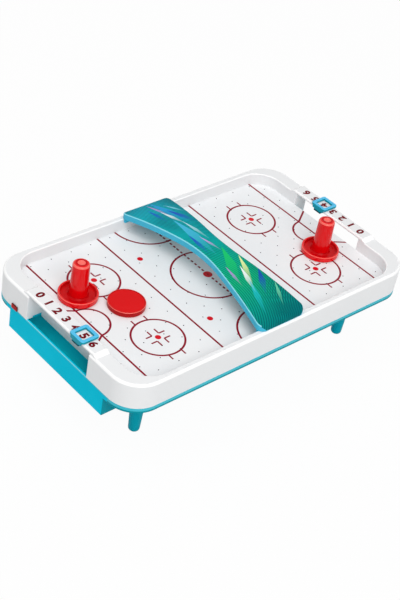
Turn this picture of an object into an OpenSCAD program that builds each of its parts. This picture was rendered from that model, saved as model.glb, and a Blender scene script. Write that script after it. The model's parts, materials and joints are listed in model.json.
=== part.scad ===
// Tabletop air hockey table: a perforated field on four legs, blown by a battery fan.
// Millimetres. The origin is on the floor under the middle, +X along the length, +Z up.

/* [Casing] */
// Overall length of the casing
table_l = 425; // [410:1:440]
// Overall width of the casing
table_w = 250; // [244:1:260]
// Outer corner radius of the casing
corner_r = 35; // [33:0.5:37]
// Height of the playing surface above the floor
play_h = 96.5; // [90:0.5:110]
// Height of the rim above the playing surface
rim_h = 15.3; // [13:0.1:18]
// Width of the rim along the long sides
side_rim_w = 8; // [7.5:0.1:9]
// Width of the rim at the two ends
end_rim_w = 20; // [19:0.1:21]
// Corner radius of the playing field
field_r = 30; // [28:0.5:31]
// Depth of the white wall below the playing surface
wall_drop = 16.7; // [16:0.1:19]
// Height of the coloured edge band
band_h = 6.3; // [5:0.1:8]
// Round on the outer edge of the rim
rim_round = 2.2; // [1:0.1:2.3]
// Wall thickness of the mouldings
wall_t = 2.4; // [2:0.1:2.6]

/* [Playing board] */
// Thickness of the perforated board
board_t = 2; // [1.5:0.1:2.5]
// Diameter of an air hole
hole_d = 1.5; // [1:0.1:2]
// Half pitch of the staggered air holes
hole_pitch = 13.95; // [13:0.05:18]

/* [Goals] */
// Width of a goal mouth
goal_w = 107.2; // [104:0.2:110]
// Width of a goal tray
tray_w = 168; // [160:1:172]
// Depth of a tray below the edge band
tray_drop = 23.7; // [15:0.1:25]
// Reach of a tray from the end face inward
tray_l = 42; // [40:0.5:42.5]
// Height of a score rail above the rim
rail_h = 3.5; // [3.3:0.1:5]
// Length of the flat top of a score rail
rail_l = 118; // [116:1:120]
// Distance between score numbers
score_step = 15.6; // [14:0.1:15.8]
// Score that the left slider shows
score_left = 5; // [0:1:6]
// Score that the right slider shows
score_right = 4; // [0:1:6]
// Side of a square score slider
slider_w = 23; // [20:0.5:24]
// Side of the slider's window
slider_window = 16.5; // [14:0.5:17]

/* [Bridge] */
// Height of the bridge's crown above the playing surface
crown_h = 38.3; // [34:0.1:45]
// Drop of the bridge from its crown to its ends
crown_drop = 16; // [14:0.1:17.5]
// Depth of the bridge's skirt
skirt_h = 8.3; // [6:0.1:10]
// Half width of the bridge at its waist
waist_half = 17.7; // [14:0.1:20]
// Half width of the bridge at its ends
bridge_half = 34.6; // [31:0.1:36]
// Radius of the waist's curve
waist_r = 203; // [150:1:260]
// Corner radius of the bridge's ends
bridge_r = 8.5; // [5:0.5:9]
// Round where the bridge's top turns down to the rim
bridge_round = 8; // [6:0.1:8.2]

/* [Legs] */
// Distance of a leg's middle from the end face
leg_in_x = 53.5; // [53:0.5:62.5]
// Distance of a leg's middle from the long side
leg_in_y = 44; // [30:0.5:55]
// Leg diameter under the casing
leg_top_d = 19.7; // [17:0.1:20.5]
// Leg diameter at the foot
leg_foot_d = 12.6; // [10:0.1:14]

/* [Pushers and puck] */
// Diameter of a pusher's base
pusher_d = 45.4; // [42:0.2:50]
// Height of a pusher
pusher_h = 46.4; // [40:0.1:50]
// Diameter of the pusher's knob at its foot
knob_d = 21; // [19:0.2:24]
// Diameter of the pusher's knob at its top
knob_top_d = 19.4; // [17:0.2:21]
// Diameter of the puck
puck_d = 43.2; // [40:0.2:46]
// Thickness of the puck
puck_t = 6.4; // [4:0.1:8]
// Distance of the left pusher from its end of the field
pusher_left_in = 39; // [32.5:0.5:47.5]
// Place of the left pusher across the width
pusher_left_y = 42.4; // [41:0.2:60]
// Distance of the right pusher from its end of the field
pusher_right_in = 43.5; // [32.5:0.5:47.5]
// Place of the right pusher across the width
pusher_right_y = -34.5; // [-60:0.5:-28]
// Distance of the puck from the left end of the field
puck_in = 75.5; // [75.5:0.5:100]
// Place of the puck across the width
puck_y = 3; // [0:0.5:5]

/* [Fan and cells] */
// Diameter of the fan's cup
cup_d = 76; // [74:0.5:78]
// Depth of the fan's cup
cup_h = 22; // [21:0.5:25]
// Diameter of the impeller
impeller_d = 62; // [56:1:64]
// Number of impeller blades
blades = 18; // [12:1:24]
// Diameter of the motor
motor_d = 24.4; // [22:0.1:25]
// Diameter of one cell
cell_d = 14.2; // [14:0.1:14.4]
// Length of one cell with its button
cell_l = 50.5; // [50:0.1:50.5]
// Number of cells side by side
cells = 4; // [4:1:4]

/* [Fits] */
// Gap beside a sliding or turning piece
slip = 0.3; // [0.25:0.05:0.4]
// Gap beside a seated piece
seat = 0.1; // [0.05:0.05:0.2]
// Diameter of a screw's shank
screw_d = 2.8; // [2.5:0.1:3]

/* [Hidden] */
$fn = 96;
eps = 0.01;

// Levels above the floor
z_play = play_h;
z_rim = z_play + rim_h;
z_wall = z_play - wall_drop;
z_pan = z_wall - band_h;
z_tray = z_pan - tray_drop;
z_rail = z_rim + rail_h;
z_board = z_play - board_t;
z_crown = z_play + crown_h;

// Playing field
field_l = table_l - 2 * end_rim_w;
field_w = table_w - 2 * side_rim_w;
inner_t = 2;
board_lap = inner_t - 0.2;
board_notch = 2.6;
pusher_left_x = pusher_left_in - field_l / 2;
pusher_right_x = field_l / 2 - pusher_right_in;
puck_x = puck_in - field_l / 2;

// Goal and tray
end_x = table_l / 2;
goal_half = goal_w / 2;
jamb_t = 2.4;
apron_t = 2;
apron_drop = 14.5;
z_apron = z_play - apron_drop;
rail_t = 3;
rail_w = 18.6;
ramp_l = 5;
rail_inner_x = field_l / 2;
rail_outer_x = rail_inner_x + rail_w;
rail_mid_x = rail_inner_x + rail_w / 2;
lug_l = 8.5;
tray_t = 3;
tray_floor_t = 2.5;
shelf_t = 2;

// Casing pan
floor_t = 2;
band_t = 4.65;
lip_t = 2;
lip_h = 4;
lip_in = wall_t + 0.25;
chamber_t = 2;
chamber_l = field_l - 5;
chamber_w = field_w - 4;
chamber_r = field_r - 3;

// Score slider
slider_t = 3;
slider_leg_t = 2;
slider_r = 3;
slider_hook_w = 11;
slider_hook_t = 2.4;
slider_hook_in = 2;

// Case screws stand in the corner blocks
boss_in_x = 15.5;
boss_in_y = 28;
boss_x = end_x - boss_in_x;
boss_y = table_w / 2 - boss_in_y;
boss_d = 7.4;
pillar_d = 9;
head_d = 5.8;
head_t = 2;
head_seat = 2.4;
screw_l = 18;
case_places = [for (sx = [-1, 1], sy = [-1, 1]) [sx * boss_x, sy * boss_y]];

// Legs plug into the pan
leg_x = end_x - leg_in_x;
leg_y = table_w / 2 - leg_in_y;
plug_d = 11;
plug_h = 8;
socket_t = 2.4;
socket_r = plug_d / 2 + seat + socket_t;
foot_round = 4.2;

// Bridge
bridge_end = table_w / 2 - 2;
bridge_t = 2.2;
crown_r = (bridge_end * bridge_end + crown_drop * crown_drop) / (2 * crown_drop);
end_mid_y = bridge_end - bridge_round;
end_mid_z = z_crown - crown_r + sqrt(pow(crown_r - bridge_round, 2) - end_mid_y * end_mid_y);
waist_run = 33;
waist_turn = asin(waist_run / waist_r);
tab_t = 2.4;
tab_drop = 4.5;
tab_y = field_w / 2 - slip;
tab_half = min(bridge_half, side_half(tab_y - tab_t)) - bridge_t / 2;
bridge_room = 4 * bridge_half;

// Pusher pads are let into the bases
pad_t = 1.2;
pad_proud = 0.4;
pad_in = 1.5;
pad_w = 10;
pusher_lift = 0.2;

// Fan
floor_inlet_d = 40;
flange_d = 92;
flange_t = 2;
fan_screw_r = 42;
fan_screw_l = 7.5;
fan_boss_h = 8;
fan_boss_d = 7;
cup_t = 2;
grille_rings = [17.5, 23.5, 29.5];
grille_slot = 3.4;
motor_h = 15;
seat_ring_t = 1.8;
seat_ring_h = 6;
shaft_d = 2;
hub_d = 9;
blade_h = 11.5;
blade_t = 1.2;
blade_in = 19;
blade_lean = 28;
back_t = 1.5;
z_cup = z_pan - cup_h;
z_motor = z_cup + cup_t + 0.5;
z_blades = z_pan + floor_t + 1.8;

// Battery bay
bay_x = 105;
bay_t = 1.8;
cell_pitch = 14.8;
contact_room = 4.15;
bay_l = cell_l + 2 * contact_room;
bay_w = cells * cell_pitch + 1.8;
door_t = 1.8;
z_cell = z_pan + floor_t + 0.4 + cell_d / 2;
z_bay_roof = z_cell + cell_d / 2 + 0.4;
roof_t = 1.5;
ear_l = 9;
ear_w = 11;
ear_boss_d = 7.5;
ear_boss_h = 11;
door_screw_l = 8.5;
ear_screw_x = bay_x + bay_l / 2 + ear_l / 2;
door_tab_y = 14.8;
door_tab_w = 4;
door_tab_l = 1.6;
door_tab_t = 1.2;
leaf_t = 0.5;
leaf_h = 11;
leaf_side = 5;
bump_d = 6;

// Power switch in the left end wall
switch_y = 75;
switch_travel = 3;
cap_w = 10.4;
cap_h = 5.6;
cap_t = 1.8;
stem_w = 4;
stem_h = 2.2;
z_stem = z_apron + 0.4;
slot_w = stem_w + switch_travel + 2 * slip;
switch_l = 9;
switch_w = 14;
switch_h = 6.5;
switch_x = -end_x + 5.5;
stem_reach = 3;

// Leads
lead_d = 1.4;
lead_gap = 3;
z_lead = z_pan + floor_t + 0.9;
lead_hole_x = 34;
lead_hole_d = 5;
lead_bay_y = 22;
lead_side_y = leg_y - socket_r - 12.5;
lead_rise_y = min(switch_y - lead_gap, leg_y - socket_r - 2.5);
lead_turn_l = 20;
lead_end_l = 4;
lead_turn_x = tray_l - end_x + lead_turn_l;
lead_rise_x = tray_l - end_x + 6.5;
z_switch_lead = z_apron + 2;

// A point of a staggered hole lies on the field and not under its rounded corner
function on_field(x, y, margin) =
    let (dx = abs(x) - (field_l / 2 - field_r), dy = abs(y) - (field_w / 2 - field_r))
    abs(x) < field_l / 2 - margin && abs(y) < field_w / 2 - margin
    && (dx < 0 || dy < 0 || norm([dx, dy]) < field_r - margin);

// Half width of the bridge's straight side at a place across the table
function side_half(y) =
    waist_half + waist_r * (1 - cos(waist_turn)) + (y - waist_run) * tan(waist_turn);

// Place of a score slider across the width, which mirrors from one end to the other
function score_y(score, side) = side * (score - 3) * score_step;

// A flat profile, drawn from the outer face inward, swept around a rounded rectangle
module ring_sweep(l, w, r) {
    for (turn = [0, 180]) rotate(turn) {
        translate([0, w / 2, 0]) rotate([90, 0, 90])
            linear_extrude(l - 2 * r, center = true) children();
        translate([l / 2, 0, 0]) rotate([90, 0, 0])
            linear_extrude(w - 2 * r, center = true) children();
        translate([l / 2 - r, w / 2 - r, 0])
            rotate_extrude(angle = 90) translate([r, 0]) children();
        translate([r - l / 2, w / 2 - r, 0]) rotate(90)
            rotate_extrude(angle = 90) translate([r, 0]) children();
    }
}

// A block with rounded upright edges
module rounded_block(l, w, r, h) {
    ring_sweep(l, w, r) translate([-r, 0]) square([r, h]);
    translate([r - l / 2, r - w / 2, 0]) cube([l - 2 * r, w - 2 * r, h]);
}

// A wall of even thickness that follows a rounded rectangle inward from its outer face
module ring_wall(l, w, r, t, z0, z1) {
    ring_sweep(l, w, r) translate([-t, z0]) square([t, z1 - z0]);
}

// A block between two corner points
module span(low, high) {
    translate(low) cube(high - low);
}

// The same piece at both ends of the table
module both_ends() {
    children();
    mirror([1, 0, 0]) children();
}

// The same piece on both long sides
module both_sides() {
    children();
    mirror([0, 1, 0]) children();
}

// A straight round bar between two points
module bar(p, q, d) {
    run = q - p;
    translate(p) rotate([0, acos(run[2] / norm(run)), atan2(run[1], run[0])])
        cylinder(h = norm(run), d = d);
}

// A bar that follows a route, with a ball at every bend
module route(points, d) {
    $fn = 12;
    for (i = [0 : len(points) - 2]) bar(points[i], points[i + 1], d);
    for (i = [1 : len(points) - 2]) translate(points[i]) sphere(d = d);
}

// Outer wall and outer part of the rim, with the rounded edge between them
module frame_profile() {
    lap = 6;
    difference() {
        translate([-lap, z_wall]) square([lap, z_rim - z_wall]);
        translate([-lap - 1, z_wall - 1]) square([lap - wall_t + 1, z_rim - wall_t - z_wall + 1]);
        translate([-rim_round, z_rim - rim_round]) square(rim_round + 1);
    }
    intersection() {
        translate([-rim_round, z_rim - rim_round]) circle(rim_round);
        translate([-rim_round, z_rim - rim_round]) square(rim_round + 1);
    }
}

// Cross section of a score rail with both upper edges rounded
module rail_section() {
    low = z_rim - 2;
    difference() {
        translate([rail_inner_x, low]) square([rail_w, z_rail - low]);
        for (x = [rail_inner_x - 1, rail_outer_x - rim_round])
            translate([x, z_rail - rim_round]) square(rim_round + 1);
    }
    for (s = [-1, 1]) translate([rail_mid_x + s * (rail_w / 2 - rim_round), z_rail - rim_round])
        intersection() {
            circle(rim_round);
            translate([(s - 1) / 2 * rim_round, 0]) square(rim_round);
        }
}

// Raised score rail over a goal mouth, with a ramp at each end
module score_rail() {
    foot = rail_l / 2 + ramp_l;
    outline = [
        [-foot, z_rim - 1], [-foot, z_rim], [-rail_l / 2, z_rail], [rail_l / 2, z_rail],
        [foot, z_rim], [foot, z_rim - 1], [goal_half, z_rim - 1], [goal_half, z_rail - rail_t],
        [-goal_half, z_rail - rail_t], [-goal_half, z_rim - 1]
    ];
    intersection() {
        translate([rail_inner_x, 0, 0]) rotate([90, 0, 90]) linear_extrude(rail_w) polygon(outline);
        rotate([90, 0, 0]) linear_extrude(2 * foot + 2, center = true) rail_section();
    }
}

// Side wall of a goal mouth, with the lug that reaches down beside the tray
module goal_jamb() {
    outer = goal_half + jamb_t;
    span([rail_inner_x - apron_t, goal_half, z_apron], [end_x - 1, outer, z_board]);
    span([rail_inner_x, goal_half, z_board - eps], [end_x - 1, outer, z_rim - 1]);
    span([end_x - lug_l, goal_half, z_wall], [end_x - 1, outer, z_apron + eps]);
}

module upper_frame() {
    color("whitesmoke") difference() {
        union() {
            difference() {
                union() {
                    ring_sweep(table_l, table_w, corner_r) frame_profile();
                    ring_wall(field_l + 2 * inner_t, field_w + 2 * inner_t, field_r + inner_t, inner_t,
                        z_play, z_rim);
                    translate([0, 0, z_rim - wall_t]) difference() {
                        rounded_block(table_l - 10, table_w - 10, corner_r - 5, wall_t);
                        translate([0, 0, -1]) rounded_block(field_l, field_w, field_r, wall_t + 2);
                    }
                }
                both_ends() span([rail_inner_x - 1, -goal_half, z_wall - 1],
                    [end_x + 1, goal_half, z_rim + 1]);
            }
            both_ends() {
                score_rail();
                both_sides() goal_jamb();
                span([rail_inner_x - apron_t, -goal_half - eps, z_apron],
                    [rail_inner_x, goal_half + eps, z_board]);
            }
            for (p = case_places) translate([p[0], p[1], z_apron])
                cylinder(h = z_rim - wall_t / 2 - z_apron, d = boss_d);
        }
        for (p = case_places) translate([p[0], p[1], z_apron - 1])
            cylinder(h = screw_l, d = screw_d + seat);
        span([-end_x - 1, switch_y - slot_w / 2, z_stem - slip],
            [-end_x + wall_t + 1, switch_y + slot_w / 2, z_stem + stem_h + slip]);
    }
}

module play_board() {
    columns = floor(field_l / 2 / hole_pitch);
    rows = floor(field_w / 2 / hole_pitch);
    margin = 4.5;
    color("gainsboro") difference() {
        translate([0, 0, z_board])
            rounded_block(field_l + 2 * board_lap, field_w + 2 * board_lap, field_r + board_lap, board_t);
        both_ends() span([rail_inner_x, -goal_half - board_notch, z_board - 1],
            [end_x, goal_half + board_notch, z_play + 1]);
        for (i = [-columns : columns], j = [-rows : rows])
            if ((i + j) % 2 == 0 && on_field(i * hole_pitch, j * hole_pitch, margin))
                translate([i * hole_pitch, j * hole_pitch, z_board - 1])
                    cylinder(h = board_t + 2, d = hole_d, $fn = 8);
    }
}

// Goal tray outside, with the shelf that closes it below the air chamber
module tray_block() {
    span([end_x - tray_l, -tray_w / 2, z_tray], [end_x, tray_w / 2, z_wall]);
    span([end_x - tray_l, -tray_w / 2, z_wall - eps], [end_x - lip_in, tray_w / 2, z_apron]);
}

// Hollow of a goal tray and its mouth below the goal
module tray_hollow() {
    notch = goal_half + board_notch;
    span([end_x - tray_l + tray_t, tray_t - tray_w / 2, z_tray + tray_floor_t],
        [end_x - tray_t, tray_w / 2 - tray_t, z_apron - shelf_t]);
    span([rail_inner_x, -goal_half, z_wall - 1], [end_x - tray_t, goal_half, z_apron + 1]);
    span([end_x - lug_l - 0.2, -notch, z_wall], [end_x + 1, notch, z_apron + lip_h]);
}

// Wall and roof of the battery bay, and the boss for the door's screw
module bay_block() {
    span([bay_x - bay_l / 2 - bay_t, -bay_w / 2 - bay_t, z_pan],
        [bay_x + bay_l / 2 + bay_t, bay_w / 2 + bay_t, z_bay_roof + roof_t]);
    span([bay_x + bay_l / 2, -ear_w / 2 - bay_t, z_pan],
        [bay_x + bay_l / 2 + ear_l + bay_t, ear_w / 2 + bay_t, z_pan + 2 * floor_t]);
    translate([ear_screw_x, 0, z_pan]) cylinder(h = ear_boss_h, d = ear_boss_d);
}

module bay_hollow() {
    span([bay_x - bay_l / 2, -bay_w / 2, z_pan - 1], [bay_x + bay_l / 2, bay_w / 2, z_bay_roof]);
    span([bay_x + bay_l / 2 - 1, -ear_w / 2, z_pan - 1],
        [bay_x + bay_l / 2 + ear_l, ear_w / 2, z_pan + door_t + 0.2]);
    both_sides() span([bay_x - bay_l / 2 - bay_t - 1, door_tab_y - door_tab_w / 2 - slip, z_pan + floor_t],
        [bay_x, door_tab_y + door_tab_w / 2 + slip, z_pan + floor_t + 3]);
    translate([ear_screw_x, 0, z_pan]) cylinder(h = door_screw_l + 1, d = screw_d + seat);
}

module base_pan() {
    socket_d = plug_d + 2 * seat;
    color("darkturquoise") difference() {
        union() {
            translate([0, 0, z_pan]) rounded_block(table_l, table_w, corner_r, floor_t);
            ring_wall(table_l, table_w, corner_r, band_t, z_pan, z_wall);
            ring_sweep(table_l, table_w, corner_r) translate([-lip_in - lip_t, z_pan])
                square([lip_t, z_wall + lip_h - z_pan]);
            ring_wall(chamber_l, chamber_w, chamber_r, chamber_t, z_pan, z_board);
            both_ends() tray_block();
            bay_block();
            for (p = case_places) translate([p[0], p[1], z_pan])
                cylinder(h = z_apron - z_pan, d = pillar_d);
            for (sx = [-1, 1], sy = [-1, 1]) translate([sx * leg_x, sy * leg_y, z_pan])
                cylinder(h = plug_h + socket_t, r = socket_r);
            for (a = [45 : 90 : 315]) rotate(a) translate([fan_screw_r, 0, z_pan])
                cylinder(h = fan_boss_h, d = fan_boss_d);
        }
        both_ends() tray_hollow();
        bay_hollow();
        for (p = case_places) translate([p[0], p[1], z_pan - 1]) {
            cylinder(h = z_apron, d = screw_d + 2 * seat);
            cylinder(h = head_seat + 1, d = head_d + 4 * seat);
        }
        for (sx = [-1, 1], sy = [-1, 1]) translate([sx * leg_x, sy * leg_y, z_pan - 1])
            cylinder(h = plug_h + 1 + seat, d = socket_d);
        for (a = [45 : 90 : 315]) rotate(a) translate([fan_screw_r, 0, z_pan - 1])
            cylinder(h = fan_screw_l - flange_t + 2, d = screw_d + seat);
        translate([0, 0, z_pan - 1]) cylinder(h = floor_t + 2, d = floor_inlet_d);
        translate([lead_hole_x, 0, z_pan - 1]) cylinder(h = floor_t + 2, d = lead_hole_d);
        span([-end_x, switch_y - switch_w / 2 - 1, z_apron],
            [-end_x + tray_l / 2 + 6, switch_y + switch_w / 2 + 1, z_apron + lip_h]);
    }
}

// Tapered round leg with a rounded foot and a plug on top
module leg(sx, sy) {
    top_r = leg_top_d / 2;
    foot_r = leg_foot_d / 2;
    outline = [
        [0, 0], [foot_r - foot_round, 0], [foot_r, foot_round], [top_r, z_pan],
        [plug_d / 2, z_pan], [plug_d / 2, z_pan + plug_h - 1], [plug_d / 2 - 1, z_pan + plug_h],
        [0, z_pan + plug_h]
    ];
    color("darkturquoise") translate([sx * leg_x, sy * leg_y, 0]) rotate_extrude() {
        polygon(outline);
        intersection() {
            translate([foot_r - foot_round, foot_round]) circle(foot_round);
            translate([foot_r - foot_round, 0]) square(foot_round);
        }
    }
}

// Plan of the space beside the bridge: an arc at the waist that runs out into straight sides
module waist_cut() {
    touch = [side_half(waist_run), waist_run];
    far_y = bridge_end + 20;
    far_x = side_half(far_y);
    linear_extrude(z_crown + 20) {
        translate([waist_half + waist_r, 0]) circle(waist_r, $fn = 360);
        for (s = [-1, 1]) polygon([
            [touch[0] + 2 * eps, s * touch[1]], [far_x + 2 * eps, s * far_y],
            [bridge_room, s * far_y], [bridge_room, s * touch[1]]
        ]);
    }
}

// Bridge plan, shrunk on every side by a margin
module bridge_plan(margin) {
    difference() {
        translate([0, 0, -1]) rounded_block(2 * (bridge_half - margin), 2 * (bridge_end - margin),
            bridge_r - margin, z_crown + 10);
        for (s = [0, 1]) mirror([s, 0, 0]) translate([-margin, 0, -2]) waist_cut();
    }
}

// Long arch across the table, as a solid below its upper face
module arch(drop) {
    translate([-bridge_room / 2, 0, z_crown - crown_r]) rotate([0, 90, 0])
        cylinder(h = bridge_room, r = crown_r - drop, $fn = 360);
}

// Space beyond the rounded ends of the arch, a little proud so that the faces cross
module arch_ends(drop) {
    proud = 0.03;
    touch_y = end_mid_y * (crown_r - drop) / (crown_r - bridge_round);
    both_sides() translate([-bridge_room / 2, 0, 0]) rotate([90, 0, 90])
        linear_extrude(bridge_room) difference() {
            translate([touch_y, end_mid_z]) square([bridge_room, z_crown]);
            translate([end_mid_y, end_mid_z + proud]) circle(bridge_round - drop);
        }
}

// Bridge outside or inside, a drop below its upper face
module bridge_skin(drop) {
    difference() {
        intersection() {
            bridge_plan(drop);
            arch(drop);
        }
        arch_ends(drop);
    }
}

module bridge() {
    color("teal") {
        difference() {
            bridge_skin(0);
            bridge_skin(bridge_t);
            intersection() {
                span([-bridge_half, seat - table_w / 2, 0], [bridge_half, table_w / 2 - seat, z_crown]);
                arch(skirt_h);
            }
            span([-bridge_half, -table_w / 2, -5], [bridge_half, table_w / 2, z_rim + seat]);
        }
        both_sides() difference() {
            span([-tab_half, tab_y - tab_t, z_rim - tab_drop], [tab_half, tab_y, z_crown]);
            difference() {
                span([-bridge_half, 0, 0], [bridge_half, table_w, 2 * z_crown]);
                arch(bridge_t / 2);
            }
        }
    }
}

// Square ring that rides on a score rail and hooks under it
module score_slider(side, score) {
    inner = rail_w / 2 + slip;
    outer = inner + slider_leg_t;
    z0 = z_rail + slip;
    z1 = z0 + slider_t;
    z_leg = z_rim + 2 * slip;
    z_hook = z_rail - rail_t - slip;
    color("skyblue") translate([side * rail_mid_x, score_y(score, side), 0]) difference() {
        union() {
            translate([0, 0, z0]) rounded_block(2 * outer, slider_w, slider_r, slider_t);
            for (s = [0, 1]) mirror([s, 0, 0]) {
                span([inner, slider_r - slider_w / 2, z_leg], [outer, slider_w / 2 - slider_r, z0 + eps]);
                span([inner, -slider_hook_w / 2, z_hook - slider_hook_t],
                    [outer, slider_hook_w / 2, z_leg + eps]);
                span([inner - slider_hook_in, -slider_hook_w / 2, z_hook - slider_hook_t],
                    [inner + eps, slider_hook_w / 2, z_hook]);
            }
        }
        translate([0, 0, (z0 + z1) / 2])
            cube([slider_window, slider_window, slider_t + 2], center = true);
    }
}

// Pusher turned in one piece: dished base, tapered hollow knob with a dimple on top
module pusher(x, y) {
    base_r = pusher_d / 2;
    rim_t = 2.2;
    base_h = 6.4;
    dish = 2.4;
    edge = 1;
    top_r = knob_top_d / 2;
    top_round = 3.2;
    hollow_r = 5.4;
    dimple_r = 9;
    height = pusher_h - pad_proud;
    pad_r = base_r - pad_in;
    color("crimson") translate([x, y, z_play + pusher_lift + pad_proud]) rotate_extrude() difference() {
        union() {
            polygon([
                [0, 0], [base_r, 0], [base_r, base_h - edge], [base_r - edge, base_h - edge],
                [base_r - edge, base_h], [base_r - rim_t, base_h], [base_r - rim_t - 1.6, dish],
                [knob_d / 2 + 1.6, dish], [knob_d / 2, dish + 2], [top_r, height - top_round],
                [top_r - top_round, height - top_round], [top_r - top_round, height], [0, height]
            ]);
            intersection() {
                translate([base_r - edge, base_h - edge]) circle(edge);
                translate([base_r - edge, base_h - edge]) square(edge);
            }
            intersection() {
                translate([top_r - top_round, height - top_round]) circle(top_round);
                translate([top_r - top_round, height - top_round]) square(top_round);
            }
        }
        translate([0, height + dimple_r - 1.1]) circle(dimple_r);
        translate([-1, -1]) square([hollow_r + 1, height - 6]);
        translate([pad_r - pad_w - seat, -1]) square([pad_w + 2 * seat, pad_t - pad_proud + 1]);
    }
}

// Felt ring in the groove of a pusher's base
module pusher_pad(x, y) {
    pad_d = pusher_d - 2 * pad_in;
    color("dimgray") translate([x, y, z_play + pusher_lift]) difference() {
        cylinder(h = pad_t, d = pad_d);
        translate([0, 0, -1]) cylinder(h = pad_t + 2, d = pad_d - 2 * pad_w);
    }
}

module puck() {
    edge = 1;
    lip = 1.8;
    recess = 0.5;
    r = puck_d / 2;
    color("crimson") translate([puck_x, puck_y, z_play + slip]) rotate_extrude() {
        polygon([
            [0, recess], [r - lip, recess], [r - lip, 0], [r - edge, 0], [r, edge],
            [r, puck_t - edge], [r - edge, puck_t], [r - lip, puck_t], [r - lip, puck_t - recess],
            [0, puck_t - recess]
        ]);
    }
}

// Switch cap outside the wall, on a stem that reaches into the switch
module switch_knob() {
    color("crimson") {
        span([-end_x - slip - cap_t, switch_y - cap_w / 2, z_wall + slip],
            [-end_x - slip, switch_y + cap_w / 2, z_wall + slip + cap_h]);
        span([-end_x - slip - eps, switch_y - stem_w / 2 - switch_travel / 2, z_stem],
            [switch_x + stem_reach - slip, switch_y + stem_w / 2 - switch_travel / 2, z_stem + stem_h]);
    }
}

module switch_body() {
    color("dimgray") difference() {
        span([switch_x, switch_y - switch_w / 2, z_apron],
            [switch_x + switch_l, switch_y + switch_w / 2, z_apron + switch_h]);
        span([switch_x - 1, switch_y - slot_w / 2, z_stem - slip],
            [switch_x + stem_reach, switch_y + slot_w / 2, z_stem + stem_h + slip]);
    }
}

// Round cup under the pan with a flange, a grille of ring slots and a seat for the motor
module fan_housing() {
    spokes = 6;
    color("dimgray") difference() {
        union() {
            translate([0, 0, z_cup]) cylinder(h = cup_h, d = cup_d);
            translate([0, 0, z_pan - flange_t]) cylinder(h = flange_t, d = flange_d);
        }
        difference() {
            translate([0, 0, z_cup + cup_t]) cylinder(h = cup_h, d = cup_d - 2 * cup_t);
            translate([0, 0, z_cup])
                cylinder(h = cup_t + seat_ring_h, d = motor_d + 2 * (seat + seat_ring_t));
        }
        translate([0, 0, z_motor - seat]) cylinder(h = cup_h, d = motor_d + 2 * seat);
        difference() {
            for (r = grille_rings) translate([0, 0, z_cup - 1]) difference() {
                cylinder(h = cup_t + 2, r = r + grille_slot / 2);
                translate([0, 0, -1]) cylinder(h = cup_t + 4, r = r - grille_slot / 2);
            }
            for (i = [0 : spokes - 1]) rotate(i * 360 / spokes)
                translate([0, -1.2, z_cup - 3]) cube([cup_d / 2, 2.4, cup_t + 6]);
        }
        for (a = [45 : 90 : 315]) rotate(a) translate([fan_screw_r, 0, z_cup])
            cylinder(h = cup_h + 1, d = screw_d + 2 * seat);
    }
}

module motor() {
    color("silver") difference() {
        union() {
            translate([0, 0, z_motor]) cylinder(h = motor_h, d = motor_d);
            translate([0, 0, z_motor + motor_h - eps]) cylinder(h = 1.5, d = 6);
        }
        translate([0, 0, z_motor + 2]) cylinder(h = motor_h, d = shaft_d + 2 * slip);
    }
}

module motor_shaft() {
    color("silver") translate([0, 0, z_motor + 2 + slip])
        cylinder(h = z_blades + blade_h - 1 - z_motor - 2 - slip - seat, d = shaft_d);
}

// Radial wheel: hub, back plate and leaning blades that hang from it
module impeller() {
    color("white") difference() {
        union() {
            translate([0, 0, z_blades]) cylinder(h = blade_h + back_t, d = hub_d);
            translate([0, 0, z_blades + blade_h]) cylinder(h = back_t, d = impeller_d);
            for (i = [0 : blades - 1]) rotate(i * 360 / blades)
                translate([blade_in, 0, z_blades]) rotate(blade_lean)
                    translate([0, -blade_t / 2, 0])
                        cube([impeller_d / 2 - blade_in - 1, blade_t, blade_h + eps]);
        }
        translate([0, 0, z_blades - 1]) cylinder(h = blade_h, d = shaft_d);
    }
}

// Cells side by side, turned end for end in turn
module batteries() {
    button_l = 1.4;
    button_d = 5.4;
    for (i = [0 : cells - 1])
        translate([bay_x, (i - (cells - 1) / 2) * cell_pitch, z_cell]) rotate([0, 0, i % 2 * 180])
            rotate([0, 90, 0]) translate([0, 0, -cell_l / 2]) {
                color("goldenrod") cylinder(h = cell_l - button_l, d = cell_d);
                color("silver") translate([0, 0, cell_l - button_l - eps])
                    cylinder(h = button_l + eps, d = button_d);
            }
}

// One leaf against an end wall of the bay, with a round bump for each cell
module leaf(side, first, last) {
    face = bay_l / 2;
    low = (first - (cells - 1) / 2) * cell_pitch;
    high = (last - (cells - 1) / 2) * cell_pitch;
    translate([bay_x, 0, z_cell]) mirror([side < 0 ? 1 : 0, 0, 0]) {
        span([face - leaf_t, low - leaf_side, -leaf_h / 2], [face, high + leaf_side, leaf_h / 2]);
        for (i = [first : last])
            translate([cell_l / 2, (i - (cells - 1) / 2) * cell_pitch, 0]) rotate([0, 90, 0])
                cylinder(h = face - cell_l / 2, d = bump_d);
    }
}

module battery_contacts() {
    color("silver") {
        leaf(1, 0, 1);
        leaf(1, 2, 3);
        leaf(-1, 0, 0);
        leaf(-1, 1, 2);
        leaf(-1, 3, 3);
    }
}

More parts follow.
